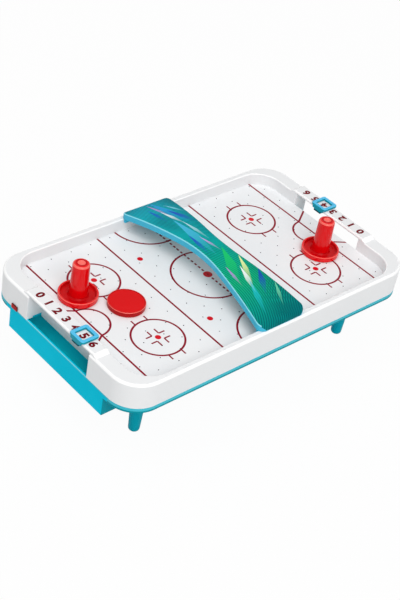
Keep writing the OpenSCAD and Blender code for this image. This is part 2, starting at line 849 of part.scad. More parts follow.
// Flush cover with two tabs at its hinge edge and an ear for the screw
module battery_door() {
    z_tab = z_pan + floor_t + seat;
    low_x = bay_x - bay_l / 2 + slip;
    color("darkturquoise") difference() {
        union() {
            span([low_x, slip - bay_w / 2, z_pan],
                [bay_x + bay_l / 2 - slip, bay_w / 2 - slip, z_pan + door_t]);
            span([bay_x + bay_l / 2 - 1, slip - ear_w / 2, z_pan],
                [bay_x + bay_l / 2 + ear_l - slip, ear_w / 2 - slip, z_pan + door_t]);
            both_sides() {
                span([low_x, door_tab_y - door_tab_w / 2, z_pan + door_t - eps],
                    [low_x + 2, door_tab_y + door_tab_w / 2, z_tab + door_tab_t]);
                span([low_x - slip - door_tab_l, door_tab_y - door_tab_w / 2, z_tab],
                    [low_x + 1, door_tab_y + door_tab_w / 2, z_tab + door_tab_t]);
            }
        }
        translate([ear_screw_x, 0, z_pan - 1]) cylinder(h = 6, d = screw_d + 2 * seat);
    }
}

module door_screw() {
    color("silver") translate([ear_screw_x, 0, z_pan]) screw(door_screw_l);
}

// Pan-head screw that stands head down, with its shank up from the seat at zero height
module screw(l) {
    translate([0, 0, -head_t]) difference() {
        cylinder(h = head_t, d = head_d);
        for (a = [0, 90]) rotate(a) translate([0, 0, 0.4])
            cube([3.4, 0.8, 2], center = true);
    }
    translate([0, 0, -eps]) cylinder(h = l, d = screw_d);
}

module case_screws() {
    color("silver") for (p = case_places) translate([p[0], p[1], z_pan + head_seat]) screw(screw_l - 2);
}

module fan_screws() {
    color("silver") for (a = [45 : 90 : 315]) rotate(a)
        translate([fan_screw_r, 0, z_pan - flange_t]) screw(fan_screw_l);
}

// Leads from the bay to the motor, and from the bay around to the switch
module wiring() {
    bay_face = bay_x - bay_l / 2 - bay_t - seat;
    switch_face = switch_x + switch_l + seat;
    z_motor_lead = z_motor + motor_h - 3;
    color("firebrick") for (s = [-1, 1]) {
        y = s * lead_gap / 2;
        route([
            [motor_d / 2 + 0.2, y, z_motor_lead], [lead_hole_x, y, z_motor_lead],
            [lead_hole_x, y, z_lead], [bay_face, y, z_lead]
        ], lead_d);
        route([
            [bay_face, lead_bay_y + y, z_lead], [bay_face - lead_end_l + y, lead_bay_y + y, z_lead],
            [bay_face - lead_turn_l + y, lead_side_y + y, z_lead],
            [lead_turn_x, lead_side_y + y, z_lead], [lead_rise_x, lead_rise_y + y, z_switch_lead],
            [switch_face + lead_end_l, switch_y + y, z_switch_lead],
            [switch_face, switch_y + y, z_switch_lead]
        ], lead_d);
    }
}

upper_frame();
play_board();
base_pan();
leg(-1, -1);  // leg_near_left
leg(1, -1);  // leg_near_right
leg(-1, 1);  // leg_far_left
leg(1, 1);  // leg_far_right
bridge();
score_slider(-1, score_left);  // score_slider_left
score_slider(1, score_right);  // score_slider_right
pusher(pusher_left_x, pusher_left_y);  // pusher_left
pusher(pusher_right_x, pusher_right_y);  // pusher_right
pusher_pad(pusher_left_x, pusher_left_y);  // pusher_pad_left
pusher_pad(pusher_right_x, pusher_right_y);  // pusher_pad_right
puck();
switch_knob();
switch_body();
fan_housing();
motor();
motor_shaft();
impeller();
batteries();
battery_contacts();
battery_door();
door_screw();
wiring();
case_screws();
fan_screws();
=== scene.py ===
"""Tabletop air hockey table: soft-edged mouldings, prints, finishes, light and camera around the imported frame."""

import json
import logging
import math
from dataclasses import dataclass
from enum import Enum, IntEnum
from typing import Callable, Iterable, Sequence

import bmesh
import bpy
from mathutils import Matrix, Vector
from mathutils.geometry import delaunay_2d_cdt

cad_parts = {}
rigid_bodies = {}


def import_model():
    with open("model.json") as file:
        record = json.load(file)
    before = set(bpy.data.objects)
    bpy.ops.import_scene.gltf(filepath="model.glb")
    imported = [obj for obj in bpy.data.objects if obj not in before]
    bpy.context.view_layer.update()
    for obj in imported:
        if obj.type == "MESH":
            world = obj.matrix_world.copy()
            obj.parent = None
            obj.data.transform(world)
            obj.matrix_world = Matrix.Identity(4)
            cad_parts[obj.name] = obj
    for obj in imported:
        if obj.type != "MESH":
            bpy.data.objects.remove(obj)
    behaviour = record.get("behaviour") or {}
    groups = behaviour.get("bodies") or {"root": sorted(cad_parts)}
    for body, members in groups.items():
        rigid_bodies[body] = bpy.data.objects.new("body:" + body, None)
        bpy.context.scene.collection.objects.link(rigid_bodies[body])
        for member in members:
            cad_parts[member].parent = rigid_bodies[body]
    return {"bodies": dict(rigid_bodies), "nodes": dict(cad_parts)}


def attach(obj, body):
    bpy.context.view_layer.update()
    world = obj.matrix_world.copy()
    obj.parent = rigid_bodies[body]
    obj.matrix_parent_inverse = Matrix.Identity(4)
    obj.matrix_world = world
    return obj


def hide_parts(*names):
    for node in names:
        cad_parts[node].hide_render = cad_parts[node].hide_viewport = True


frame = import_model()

MM = 0.001
log = logging.getLogger("air_hockey_table")

Flat = tuple[float, float]
Corner = tuple[float, float, float]
Spot = tuple[float, float, float]
Place = Callable[[float, float, float], Spot]
Rule = Callable[[Vector, Vector], int]
Test = Callable[[Vector, Vector], bool]
Piece = bpy.types.Object
Material = bpy.types.Material
NodeTree = bpy.types.NodeTree
Socket = bpy.types.NodeSocket
Feed = float | Socket


class Side(Enum):
    """End of the table, with its sign along the length."""

    LEFT = -1
    RIGHT = 1


@dataclass(frozen=True)
class TableSize:
    """Sizes that several sub-assemblies share, in millimetres above the floor or from the middle."""

    half_length: float = 212.5
    half_width: float = 125.0
    corner: float = 35.0
    field_half_length: float = 192.5
    field_half_width: float = 117.0
    field_corner: float = 30.0
    play: float = 96.5
    board_under: float = 94.5
    rim: float = 111.8
    rail: float = 115.3
    apron: float = 82.0
    wall_foot: float = 79.8
    pan: float = 73.5
    tray_floor: float = 49.8
    tray_half: float = 84.0
    tray_back: float = 170.5
    goal_half: float = 53.6
    rail_width: float = 18.6

    @property
    def rail_middle(self) -> float:
        """Distance of a score rail's middle from the middle of the table."""
        return self.field_half_length + self.rail_width / 2


TABLE = TableSize()
SLIDER_Y = {Side.LEFT: -31.2, Side.RIGHT: 15.6}
PUSHER_XY = {Side.LEFT: (-153.5, 42.4), Side.RIGHT: (149.0, -34.5)}


# Outlines and shells


def fillet(path: Sequence[Corner], closed: bool = True, steps: int = 5) -> list[Flat]:
    """Rounds the corners of a flat path.

    Args:
        path: corners as (x, y, radius).
        closed: whether the last corner joins the first.
        steps: faces along one round.

    Returns:
        The points of the rounded path.
    """
    points: list[Flat] = []
    count = len(path)
    for i, (x, y, radius) in enumerate(path):
        if radius <= 0 or (not closed and i in (0, count - 1)):
            points.append((x, y))
            continue
        corner = Vector((x, y))
        back = (Vector(path[i - 1][:2]) - corner).normalized()
        ahead = (Vector(path[(i + 1) % count][:2]) - corner).normalized()
        half = back.angle(ahead) / 2
        centre = corner + (back + ahead).normalized() * (radius / math.sin(half))
        first = corner + back * (radius / math.tan(half)) - centre
        last = corner + ahead * (radius / math.tan(half)) - centre
        start = math.atan2(first.y, first.x)
        sweep = (math.atan2(last.y, last.x) - start + math.pi) % math.tau - math.pi
        for k in range(steps + 1):
            angle = start + sweep * k / steps
            points.append((centre.x + radius * math.cos(angle), centre.y + radius * math.sin(angle)))
    return points


def inset(outline: Sequence[Flat], distance: float) -> list[Flat]:
    """Moves a closed outline that runs counter-clockwise inward.

    Args:
        outline: its points.
        distance: how far each edge moves.

    Returns:
        The moved points, in the same order.
    """
    if abs(distance) < 1e-9:
        return list(outline)
    moved: list[Flat] = []
    count = len(outline)
    for i in range(count):
        here = Vector(outline[i])
        before = (here - Vector(outline[i - 1])).normalized()
        after = (Vector(outline[(i + 1) % count]) - here).normalized()
        first, second = Vector((-before.y, before.x)), Vector((-after.y, after.x))
        shift = (first + second) * (distance / max(0.2, 1 + first.dot(second)))
        moved.append((here.x + shift.x, here.y + shift.y))
    return moved


def round_box(low: Flat, high: Flat, radius: float, steps: int = 5) -> list[Flat]:
    """Outline of a rectangle with rounded corners, counter-clockwise."""
    (a, b), (c, d) = low, high
    return fillet([(a, b, radius), (c, b, radius), (c, d, radius), (a, d, radius)], steps=steps)


def quarter(radius: float, steps: int) -> list[Flat]:
    """Sides of a quarter round, as (inset, drop) from its wall up to its flat."""
    turns = [math.pi / 2 * k / steps for k in range(steps + 1)]
    return [(radius * (1 - math.cos(a)), radius * (1 - math.sin(a))) for a in turns]


class Shell:
    """Points and faces of one piece while it is built, in millimetres."""

    def __init__(self) -> None:
        """Starts empty."""
        self.points: list[Spot] = []
        self.faces: list[tuple[int, ...]] = []
        self.marks: list[int] = []

    def ring(self, points: Iterable[Spot]) -> list[int]:
        """Adds a row of points and returns their numbers.

        Args:
            points: the points, in order.

        Returns:
            Their numbers.
        """
        first = len(self.points)
        self.points.extend(points)
        return list(range(first, len(self.points)))

    def face(self, corners: Sequence[int], mark: int = 0) -> None:
        """Adds one face with a finish number."""
        self.faces.append(tuple(corners))
        self.marks.append(int(mark))

    def skin(self, a: Sequence[int], b: Sequence[int], closed: bool = True, mark: int = 0) -> None:
        """Joins two rows of as many points with four-sided faces.

        Args:
            a: numbers of the first row.
            b: numbers of the second row.
            closed: whether the rows run round.
            mark: finish number of the faces.
        """
        count = len(a)
        for i in range(count if closed else count - 1):
            k = (i + 1) % count
            self.face((a[i], a[k], b[k], b[i]), mark)

    def prism(
        self,
        outline: Sequence[Flat],
        low: float,
        high: float,
        place: Place,
        soft_low: float = 0.0,
        soft_high: float = 0.0,
        mark: int = 0,
        steps: int = 3,
        hole: Sequence[Flat] | None = None,
    ) -> None:
        """Adds a plate with rounded edges, with or without a window.

        Args:
            outline: its flat outline, counter-clockwise.
            low: where it starts along the third direction.
            high: where it ends.
            place: turns (across, up, along) into a point of the frame.
            soft_low: round of the edges where it starts.
            soft_high: round of the edges where it ends.
            mark: finish number of its faces.
            steps: faces along one round.
            hole: outline of a window, with as many points as the outline.
        """
        levels: list[Flat] = []
        levels += [(i, low + d) for i, d in reversed(quarter(soft_low, steps))] if soft_low else [(0.0, low)]
        levels += [(i, high - d) for i, d in quarter(soft_high, steps)] if soft_high else [(0.0, high)]
        sides = []
        for loop, sense in ((outline, 1.0), (hole, -1.0)):
            if loop is None:
                continue
            rings = [self.ring(place(u, v, t) for u, v in inset(loop, sense * i)) for i, t in levels]
            for a, b in zip(rings, rings[1:]):
                self.skin(a, b, mark=mark)
            sides.append((rings[0], rings[-1]))
        for end in (0, 1):
            if hole is None:
                self.face(sides[0][end], mark)
            else:
                self.skin(sides[0][end], sides[1][end], mark=mark)

    def lathe(
        self, profile: Sequence[Flat], x: float, y: float, turns: int = 72, mark: int = 0, closed: bool = False
    ) -> None:
        """Adds a turned form about an upright axis.

        Args:
            profile: its (radius, height) points.
            x: place of the axis along the length.
            y: place of the axis across the width.
            turns: faces around.
            mark: finish number of its faces.
            closed: whether the profile's last point joins its first.
        """
        self.revolve(profile, lambda r, h, c, s: (x + r * c, y + r * s, h), turns, mark, closed)

    def revolve(
        self,
        profile: Sequence[Flat],
        place: Callable[[float, float, float, float], Spot],
        turns: int,
        mark: int = 0,
        closed: bool = False,
    ) -> None:
        """Adds a turned form about any axis.

        Args:
            profile: its (radius, height) points.
            place: turns (radius, height, cosine, sine) into a point of the frame.
            turns: faces around.
            mark: finish number of its faces.
            closed: whether the profile's last point joins its first.
        """
        rows = []
        for radius, height in profile:
            if radius < 1e-6:
                rows.append(self.ring([place(0.0, height, 1.0, 0.0)]))
                continue
            angles = [math.tau * k / turns for k in range(turns)]
            rows.append(self.ring(place(radius, height, math.cos(a), math.sin(a)) for a in angles))
        pairs = list(zip(rows, rows[1:])) + ([(rows[-1], rows[0])] if closed else [])
        for a, b in pairs:
            if len(a) == 1 and len(b) == 1:
                continue
            if len(a) == 1 or len(b) == 1:
                tip, round_row = (a[0], b) if len(a) == 1 else (b[0], a)
                for i in range(turns):
                    self.face((tip, round_row[i], round_row[(i + 1) % turns]), mark)
            else:
                self.skin(a, b, mark=mark)

    def piece(self, name: str, finishes: Sequence[Material], sharp: float = 38.0) -> Piece:
        """Makes the Blender object.

        Args:
            name: its name.
            finishes: its materials, by finish number.
            sharp: angle in degrees above which an edge stays crisp.

        Returns:
            The linked object.
        """
        mesh = bpy.data.meshes.new(name)
        mesh.from_pydata([tuple(c * MM for c in p) for p in self.points], [], self.faces)
        mesh.polygons.foreach_set("material_index", self.marks)
        return dressed(name, mesh, finishes, sharp)


def dressed(
    name: str, mesh: bpy.types.Mesh, finishes: Sequence[Material], sharp: float = 38.0
) -> Piece:
    """Turns a mesh into a shaded, linked object.

    Args:
        name: the object's name.
        mesh: its mesh, whose faces may point either way.
        finishes: its materials.
        sharp: angle in degrees above which an edge stays crisp.

    Returns:
        The linked object.
    """
    work = bmesh.new()
    work.from_mesh(mesh)
    bmesh.ops.recalc_face_normals(work, faces=work.faces)
    for side in work.faces:
        side.smooth = True
    for edge in work.edges:
        edge.smooth = len(edge.link_faces) == 2 and edge.calc_face_angle(0.0) < math.radians(sharp)
    work.to_mesh(mesh)
    work.free()
    for finish in finishes:
        mesh.materials.append(finish)
    thing = bpy.data.objects.new(name, mesh)
    bpy.context.scene.collection.objects.link(thing)
    weigh = thing.modifiers.new("even_normals", "WEIGHTED_NORMAL")
    weigh.keep_sharp = True
    weigh.weight = 100
    return thing


def paint(piece: Piece, rule: Rule) -> None:
    """Gives each face the finish number that a rule picks by its middle, in millimetres, and its direction."""
    for side in piece.data.polygons:
        side.material_index = rule(side.center / MM, side.normal)


def parted(piece: Piece, axis: Vector, place: float, chosen: Test) -> None:
    """Cuts some faces of a piece in two, so that each part can take its own finish.

    Args:
        piece: the piece to change.
        axis: direction across the cut.
        place: distance of the cut along that direction, in millimetres.
        chosen: says by a face's middle, in millimetres, and its direction whether it is cut.
    """
    work = bmesh.new()
    work.from_mesh(piece.data)
    sides = [f for f in work.faces if chosen(f.calc_center_bounds() / MM, f.normal)]
    parts = {part for f in sides for part in (f, *f.edges, *f.verts)}
    bmesh.ops.bisect_plane(work, geom=list(parts), plane_co=axis * place * MM, plane_no=axis)
    work.to_mesh(piece.data)
    work.free()


def softened(
    node: str,
    name: str,
    finishes: Sequence[Material],
    width: float,
    chosen: Test | None = None,
    steps: int = 2,
) -> Piece:
    """Copies a solid of the frame and rounds its crisp edges.

    Args:
        node: name of the solid.
        name: name of the new piece.
        finishes: its materials.
        width: width of the rounds in millimetres.
        chosen: says by an edge's middle and direction, in millimetres, whether it is rounded.
        steps: faces along one round.

    Returns:
        The new piece.
    """
    work = bmesh.new()
    work.from_mesh(frame["nodes"][node].data)
    bmesh.ops.remove_doubles(work, verts=work.verts, dist=2e-6)
    bmesh.ops.dissolve_limit(
        work, angle_limit=math.radians(0.3), use_dissolve_boundaries=False, verts=work.verts, edges=work.edges
    )
    edges = []
    for edge in work.edges:
        if len(edge.link_faces) != 2 or edge.calc_face_angle(0.0) < math.radians(35):
            continue
        a, b = (v.co / MM for v in edge.verts)
        if chosen is None or chosen((a + b) / 2, b - a):
            edges.append(edge)
    bmesh.ops.bevel(
        work, geom=edges, offset=width * MM, offset_type="OFFSET", segments=steps, profile=0.5, affect="EDGES",
        clamp_overlap=False, loop_slide=True,
    )
    mesh = bpy.data.meshes.new(name)
    work.to_mesh(mesh)
    work.free()
    mesh.materials.clear()
    return dressed(name, mesh, finishes)


# Finishes


def linear(code: str) -> tuple[float, float, float, float]:
    """Turns a hex colour as seen on a screen into the shader's own scale."""
    parts = [int(code[i : i + 2], 16) / 255 for i in (0, 2, 4)]
    return (*[c / 12.92 if c <= 0.04045 else ((c + 0.055) / 1.055) ** 2.4 for c in parts], 1.0)


class Tree:
    """Short way to place and join nodes in one node tree."""

    def __init__(self, tree: NodeTree) -> None:
        """Holds the tree that it fills."""
        self.tree = tree

    def node(self, kind: str, **settings: object) -> bpy.types.Node:
        """Places a node and sets its properties.

        Args:
            kind: type of the node.
            settings: properties by name.

        Returns:
            The node.
        """
        made = self.tree.nodes.new(kind)
        for name, value in settings.items():
            setattr(made, name, value)
        return made

    def feed(self, socket: Socket, value: object) -> None:
        """Joins a socket to another, or gives it a value.

        Args:
            socket: the input to fill.
            value: another node's output, or a plain value.
        """
        if isinstance(value, Socket):
            self.tree.links.new(value, socket)
        else:
            socket.default_value = value

    def math(self, kind: str, a: Feed, b: Feed = 0.0, c: Feed = 0.0) -> Socket:
        """Places a Math node and returns its output.

        Args:
            kind: the operation.
            a: first value.
            b: second value.
            c: third value.

        Returns:
            The output.
        """
        made = self.node("ShaderNodeMath", operation=kind)
        for socket, value in zip(made.inputs, (a, b, c)):
            self.feed(socket, value)
        return made.outputs[0]

    def least(self, *values: Feed) -> Socket:
        """Returns the least of several values.

        Args:
            values: the values.

        Returns:
            The least value.
        """
        result = values[0]
        for value in values[1:]:
            result = self.math("MINIMUM", result, value)
        return result

    def most(self, *values: Feed) -> Socket:
        """Returns the most of several values.

        Args:
            values: the values.

        Returns:
            The greatest value.
        """
        result = values[0]
        for value in values[1:]:
            result = self.math("MAXIMUM", result, value)
        return result

    def length(self, x: Feed, y: Feed) -> Socket:
        """Returns the length of a flat vector."""
        return self.math("SQRT", self.math("ADD", self.math("MULTIPLY", x, x), self.math("MULTIPLY", y, y)))

    def spread(
        self, value: Feed, low: Feed, high: Feed, to_low: Feed = 0.0, to_high: Feed = 1.0, smooth: bool = True
    ) -> Socket:
        """Maps a range onto another and returns the output.

        Args:
            value: the value to map.
            low: start of its range.
            high: end of its range.
            to_low: what the start becomes.
            to_high: what the end becomes.
            smooth: whether the change eases in and out.

        Returns:
            The mapped value.
        """
        made = self.node("ShaderNodeMapRange", interpolation_type="SMOOTHSTEP" if smooth else "LINEAR")
        names = ("Value", "From Min", "From Max", "To Min", "To Max")
        for name, given in zip(names, (value, low, high, to_low, to_high)):
            self.feed(made.inputs[name], given)
        return made.outputs["Result"]

    def blend(self, share: Feed, a: object, b: object) -> Socket:
        """Mixes two colours and returns the output.

        Args:
            share: share of the second colour.
            a: first colour.
            b: second colour.

        Returns:
            The mixed colour.
        """
        made = self.node("ShaderNodeMix", data_type="RGBA")
        self.feed(made.inputs["Factor"], share)
        self.feed(made.inputs[6], a)
        self.feed(made.inputs[7], b)
        return made.outputs[2]

    def ramp(self, value: Feed, stops: Sequence[tuple[float, str]], stepped: bool = False) -> Socket:
        """Turns a value from 0 to 1 into a colour between stops, or of the last stop passed.

        Args:
            value: the value to turn into a colour.
            stops: places from 0 to 1 with their colours.
            stepped: whether each colour holds up to the next stop.

        Returns:
            The colour.
        """
        made = self.node("ShaderNodeValToRGB")
        line = made.color_ramp
        line.interpolation = "CONSTANT" if stepped else "LINEAR"
        while len(line.elements) < len(stops):
            line.elements.new(0.5)
        for element, (place, code) in zip(line.elements, stops):
            element.position, element.color = place, linear(code)
        self.feed(made.inputs["Fac"], value)
        return made.outputs["Color"]

    def noise(self, vector: Socket, scale: Feed, detail: float = 2.0, rough: float = 0.5) -> Socket:
        """Places a Noise Texture and returns its value.

        Args:
            vector: place on the surface.
            scale: how often the pattern repeats.
            detail: number of finer layers.
            rough: strength of the finer layers.

        Returns:
            The value.
        """
        made = self.node("ShaderNodeTexNoise")
        self.feed(made.inputs["Vector"], vector)
        self.feed(made.inputs["Scale"], scale)
        self.feed(made.inputs["Detail"], detail)
        self.feed(made.inputs["Roughness"], rough)
        return made.outputs["Fac"]

    def axes(self, vector: Socket, scale: float = 1.0) -> list[Socket]:
        """Splits a vector, scaled, into its three parts.

        Args:
            vector: the vector to split.
            scale: factor on each part.

        Returns:
            The three parts.
        """
        made = self.node("ShaderNodeSeparateXYZ")
        self.feed(made.inputs[0], vector)
        if scale == 1.0:
            return list(made.outputs)
        return [self.math("MULTIPLY", part, scale) for part in made.outputs]


def node_group(
    name: str, inputs: dict[str, tuple[str, object]], outputs: dict[str, str]
) -> tuple[NodeTree, Tree, bpy.types.Node, bpy.types.Node]:
    """Starts a shader node group.

    Args:
        name: its name.
        inputs: socket type and first value by name.
        outputs: socket type by name.

    Returns:
        The group, its builder, and its input and output nodes.
    """
    group = bpy.data.node_groups.new(name, "ShaderNodeTree")
    for label, (kind, value) in inputs.items():
        socket = group.interface.new_socket(label, in_out="INPUT", socket_type=kind)
        if value is not None:
            socket.default_value = value
    for label, kind in outputs.items():
        group.interface.new_socket(label, in_out="OUTPUT", socket_type=kind)
    tree = Tree(group)
    return group, tree, tree.node("NodeGroupInput"), tree.node("NodeGroupOutput")


FLOAT, VECTOR, COLOUR = "NodeSocketFloat", "NodeSocketVector", "NodeSocketColor"


class SharedEffects:
    """Node groups that several finishes place with their own values."""

    def __init__(self) -> None:
        """Builds each group once."""
        self.moulding = self._moulding()
        self.scuffs = self._scuffs()
        self.rink = self._rink()
        self.bridge_art = self._bridge_art()

    @staticmethod
    def _moulding() -> NodeTree:
        """Fine grain and slow unevenness of a moulded face.

        Returns:
            The group.
        """
        group, t, given, out = node_group(
            "moulded_face",
            {"Vector": (VECTOR, None), "Grain Scale": (FLOAT, 2600.0), "Flow Scale": (FLOAT, 18.0)},
            {"Height": FLOAT, "Flow": FLOAT},
        )
        grain = t.noise(given.outputs["Vector"], given.outputs["Grain Scale"], 3.0, 0.6)
        flow = t.noise(given.outputs["Vector"], given.outputs["Flow Scale"], 3.0, 0.55)
        t.feed(out.inputs["Height"], t.math("ADD", t.math("MULTIPLY", grain, 0.5), t.math("MULTIPLY", flow, 0.5)))
        t.feed(out.inputs["Flow"], t.spread(flow, 0.3, 0.7))
        return group

    @staticmethod
    def _scuffs() -> NodeTree:
        """Fine rubbed lines from play, as a mask.

        Returns:
            The group.
        """
        group, t, given, out = node_group(
            "play_scuffs",
            {"Vector": (VECTOR, None), "Scale": (FLOAT, 30.0), "Amount": (FLOAT, 0.5)},
            {"Mask": FLOAT},
        )
        lines = None
        for turn, stretch in ((0.5, 26.0), (-0.9, 34.0)):
            place = t.node("ShaderNodeMapping")
            t.feed(place.inputs["Vector"], given.outputs["Vector"])
            place.inputs["Rotation"].default_value = (0.0, 0.0, turn)
            place.inputs["Scale"].default_value = (1.0, stretch, 1.0)
            streak = t.spread(t.noise(place.outputs[0], given.outputs["Scale"], 2.0), 0.66, 0.74)
            lines = streak if lines is None else t.math("MAXIMUM", lines, streak)
        patch = t.spread(t.noise(given.outputs["Vector"], 14.0, 2.0), 0.45, 0.68)
        t.feed(out.inputs["Mask"], t.math("MULTIPLY", t.math("MULTIPLY", lines, patch), given.outputs["Amount"]))
        return group

    @staticmethod
    def _rink() -> NodeTree:
        """Printed lines, circles and spots of the rink, as an ink mask and a mask of the spots.

        Returns:
            The group.
        """
        ink = RinkPrint()
        group, t, given, out = node_group("rink_print", {"Vector": (VECTOR, None)}, {"Ink": FLOAT, "Spot": FLOAT})
        x, y, _ = t.axes(given.outputs["Vector"], 1 / MM)
        ax, ay = t.math("ABSOLUTE", x), t.math("ABSOLUTE", y)
        half = ink.line / 2

        def band(value: Socket, centre: float, reach: float) -> Socket:
            """Signed distance from a band about a value."""
            return t.math("SUBTRACT", t.math("ABSOLUTE", t.math("SUBTRACT", value, centre)), reach)

        def away(cx: float, cy: float) -> tuple[Socket, Socket]:
            """Place from a point of the folded quarter."""
            return t.math("SUBTRACT", ax, cx), t.math("SUBTRACT", ay, cy)

        def bar(u: Socket, v: Socket, cu: float, cv: float, hu: float, hv: float) -> Socket:
            """Signed distance from a rectangle."""
            return t.most(band(u, cu, hu), band(v, cv, hv))

        centre = t.length(x, y)
        dash = t.math("PINGPONG", t.math("SUBTRACT", ay, ink.dash_start), ink.dash_pitch / 2)
        fx, fy = away(*ink.face_off)
        face = t.length(fx, fy)
        hx, hy = t.math("ABSOLUTE", fx), t.math("ABSOLUTE", fy)
        nx, ny = away(*ink.neutral)
        sx, sy = away(0.0, TABLE.field_half_width)
        gx, _ = away(ink.goal_line, 0.0)
        _, ly = away(0.0, ink.crease)
        rise = ink.flare[1] / math.hypot(*ink.flare)
        run = ink.flare[0] / math.hypot(*ink.flare)
        slant = t.math("SUBTRACT", t.math("MULTIPLY", ly, run), t.math("MULTIPLY", gx, rise))
        h0, h1 = ink.hook
        t0, t1 = ink.tick
        spots = t.least(
            t.math("SUBTRACT", centre, ink.centre_spot),
            t.math("SUBTRACT", face, ink.spot),
            t.math("SUBTRACT", t.length(nx, ny), ink.spot),
        )
        gap = t.least(
            spots,
            band(ax, ink.goal_line, half),
            band(ax, ink.zone_line, half),
            t.most(band(ax, 0.0, half), t.math("SUBTRACT", dash, ink.dash_length / 2)),
            band(centre, ink.centre_circle, half),
            band(face, ink.face_circle, half),
            bar(hx, hy, (h0 + h1) / 2, h0, (h1 - h0) / 2, half * 0.8),
            bar(hx, hy, h0, (h0 + h1) / 2, half * 0.8, (h1 - h0) / 2),
            bar(hx, hy, ink.tick_side, (t0 + t1) / 2, half * 0.8, (t1 - t0) / 2),
            band(t.length(sx, sy), ink.side_arc, half),
            t.most(band(t.length(gx, ay), ink.crease, half), gx),
            t.most(band(slant, 0.0, half), t.math("MULTIPLY", gx, -1.0)),
        )
        t.feed(out.inputs["Ink"], t.spread(gap, 0.1, -0.1))
        t.feed(out.inputs["Spot"], t.spread(spots, 0.3, 0.1))
        return group

    @staticmethod
    def _bridge_art() -> NodeTree:
        """Printed art for the bridge: a run of colours, fine arcs and clusters of glassy shards.

        Returns:
            The group.
        """
        art = BridgePrint()
        group, t, given, out = node_group("bridge_art", {"Vector": (VECTOR, None)}, {"Color": COLOUR, "Gloss": FLOAT})
        x, y, _ = t.axes(given.outputs["Vector"], 1 / MM)
        cloud = t.noise(given.outputs["Vector"], 22.0, 3.0)
        colour = t.ramp(t.spread(y, -art.reach, art.reach, smooth=False), art.run)
        colour = t.blend(t.spread(cloud, 0.45, 0.7, 0.0, 0.4), colour, linear(art.deep))
        colour = t.blend(t.spread(x, 6.0, 36.0, 0.0, 0.6), colour, linear(art.deep))
        for cx, cy, near, far in art.arcs:
            reach = t.length(t.math("SUBTRACT", x, cx), t.math("SUBTRACT", y, cy))
            fade = t.least(t.spread(reach, near, near + 16.0), t.spread(reach, far, far - 30.0))
            line = t.spread(t.math("SINE", t.math("MULTIPLY", reach, math.tau / art.pitch)), -0.1, 0.6, 0.0, 0.7)
            colour = t.blend(t.math("MULTIPLY", line, fade), colour, linear(art.line))
        for shard in art.shards:
            c, s = math.cos(math.radians(shard.turn)), math.sin(math.radians(shard.turn))
            dx, dy = t.math("SUBTRACT", x, shard.x), t.math("SUBTRACT", y, shard.y)
            along = t.math("ADD", t.math("MULTIPLY", dx, c / shard.long), t.math("MULTIPLY", dy, s / shard.long))
            across = t.math("SUBTRACT", t.math("MULTIPLY", dy, c / shard.wide), t.math("MULTIPLY", dx, s / shard.wide))
            across = t.math("ADD", across, t.math("MULTIPLY", along, shard.skew))
            size = t.math("ADD", t.math("ABSOLUTE", along), t.math("ABSOLUTE", across))
            shown = t.math("MULTIPLY", t.spread(size, 1.04, 0.96), t.spread(along, -1.0, 0.8, 0.15, shard.share))
            colour = t.blend(shown, colour, linear(shard.colour))
        t.feed(out.inputs["Color"], colour)
        t.feed(out.inputs["Gloss"], t.spread(cloud, 0.3, 0.7))
        return group


@dataclass(frozen=True)
class Shard:
    """Pointed shard of a print: middle and half sizes in millimetres, turn in degrees."""

    x: float
    y: float
    turn: float
    long: float
    wide: float
    colour: str
    share: float = 0.95
    skew: float = 0.5


@dataclass(frozen=True)
class BridgePrint:
    """Colours and shapes printed on the bridge, in millimetres from its middle."""

    reach: float = 123.0
    pitch: float = 2.9
    deep: str = "036a72"
    line: str = "024e58"
    run: tuple[tuple[float, str], ...] = (
        (0.0, "05807e"), (0.1, "0aa08a"), (0.26, "14b87c"), (0.42, "0ab294"), (0.56, "08a8a6"), (0.72, "0aaab2"),
        (0.88, "0cbccc"), (1.0, "06a0b8"),
    )
    arcs: tuple[tuple[float, float, float, float], ...] = (
        (92.0, 128.0, 30.0, 150.0), (-96.0, -70.0, 34.0, 140.0), (60.0, -132.0, 10.0, 84.0),
    )
    shards: tuple[Shard, ...] = (
        Shard(9.0, 84.0, 112.0, 34.0, 6.0, "2f9ae6", 0.75, 1.4),
        Shard(15.0, 70.0, 118.0, 22.0, 3.8, "2447bd", 0.95, 1.2),
        Shard(1.0, 96.0, 104.0, 20.0, 2.0, "c092e0", 0.95, 0.9),
        Shard(3.0, 74.0, 110.0, 19.0, 2.6, "eaf6fa", 0.95, 1.3),
        Shard(-9.0, 86.0, 102.0, 18.0, 2.8, "1c55c8", 0.9, 1.2),
        Shard(20.0, 90.0, 116.0, 15.0, 1.7, "8fdcf2", 0.9, 0.8),
        Shard(-3.0, 28.0, 98.0, 40.0, 6.4, "52c2ee", 0.75, 1.2),
        Shard(-10.0, 12.0, 94.0, 22.0, 3.0, "2450c2", 0.95, 1.1),
        Shard(3.0, 8.0, 104.0, 17.0, 1.8, "c8a2e4", 0.95, 0.9),
        Shard(7.0, 38.0, 100.0, 23.0, 2.4, "bfeaf6", 0.8, 1.2),
        Shard(-2.0, -34.0, 84.0, 32.0, 6.6, "1fc866", 0.85, 1.3),
        Shard(9.0, -46.0, 78.0, 23.0, 3.2, "eaf6a6", 0.95, 1.1),
        Shard(0.0, -60.0, 86.0, 21.0, 3.2, "f6fbfa", 0.95, 1.4),
        Shard(13.0, -70.0, 76.0, 20.0, 4.4, "2143b4", 0.9, 1.2),
        Shard(-12.0, -50.0, 90.0, 17.0, 2.0, "b890de", 0.9, 0.9),
        Shard(-8.0, -86.0, 82.0, 25.0, 4.0, "24c4d4", 0.7, 1.2),
        Shard(19.0, -92.0, 72.0, 18.0, 2.2, "7fe0b4", 0.7, 1.0),
    )


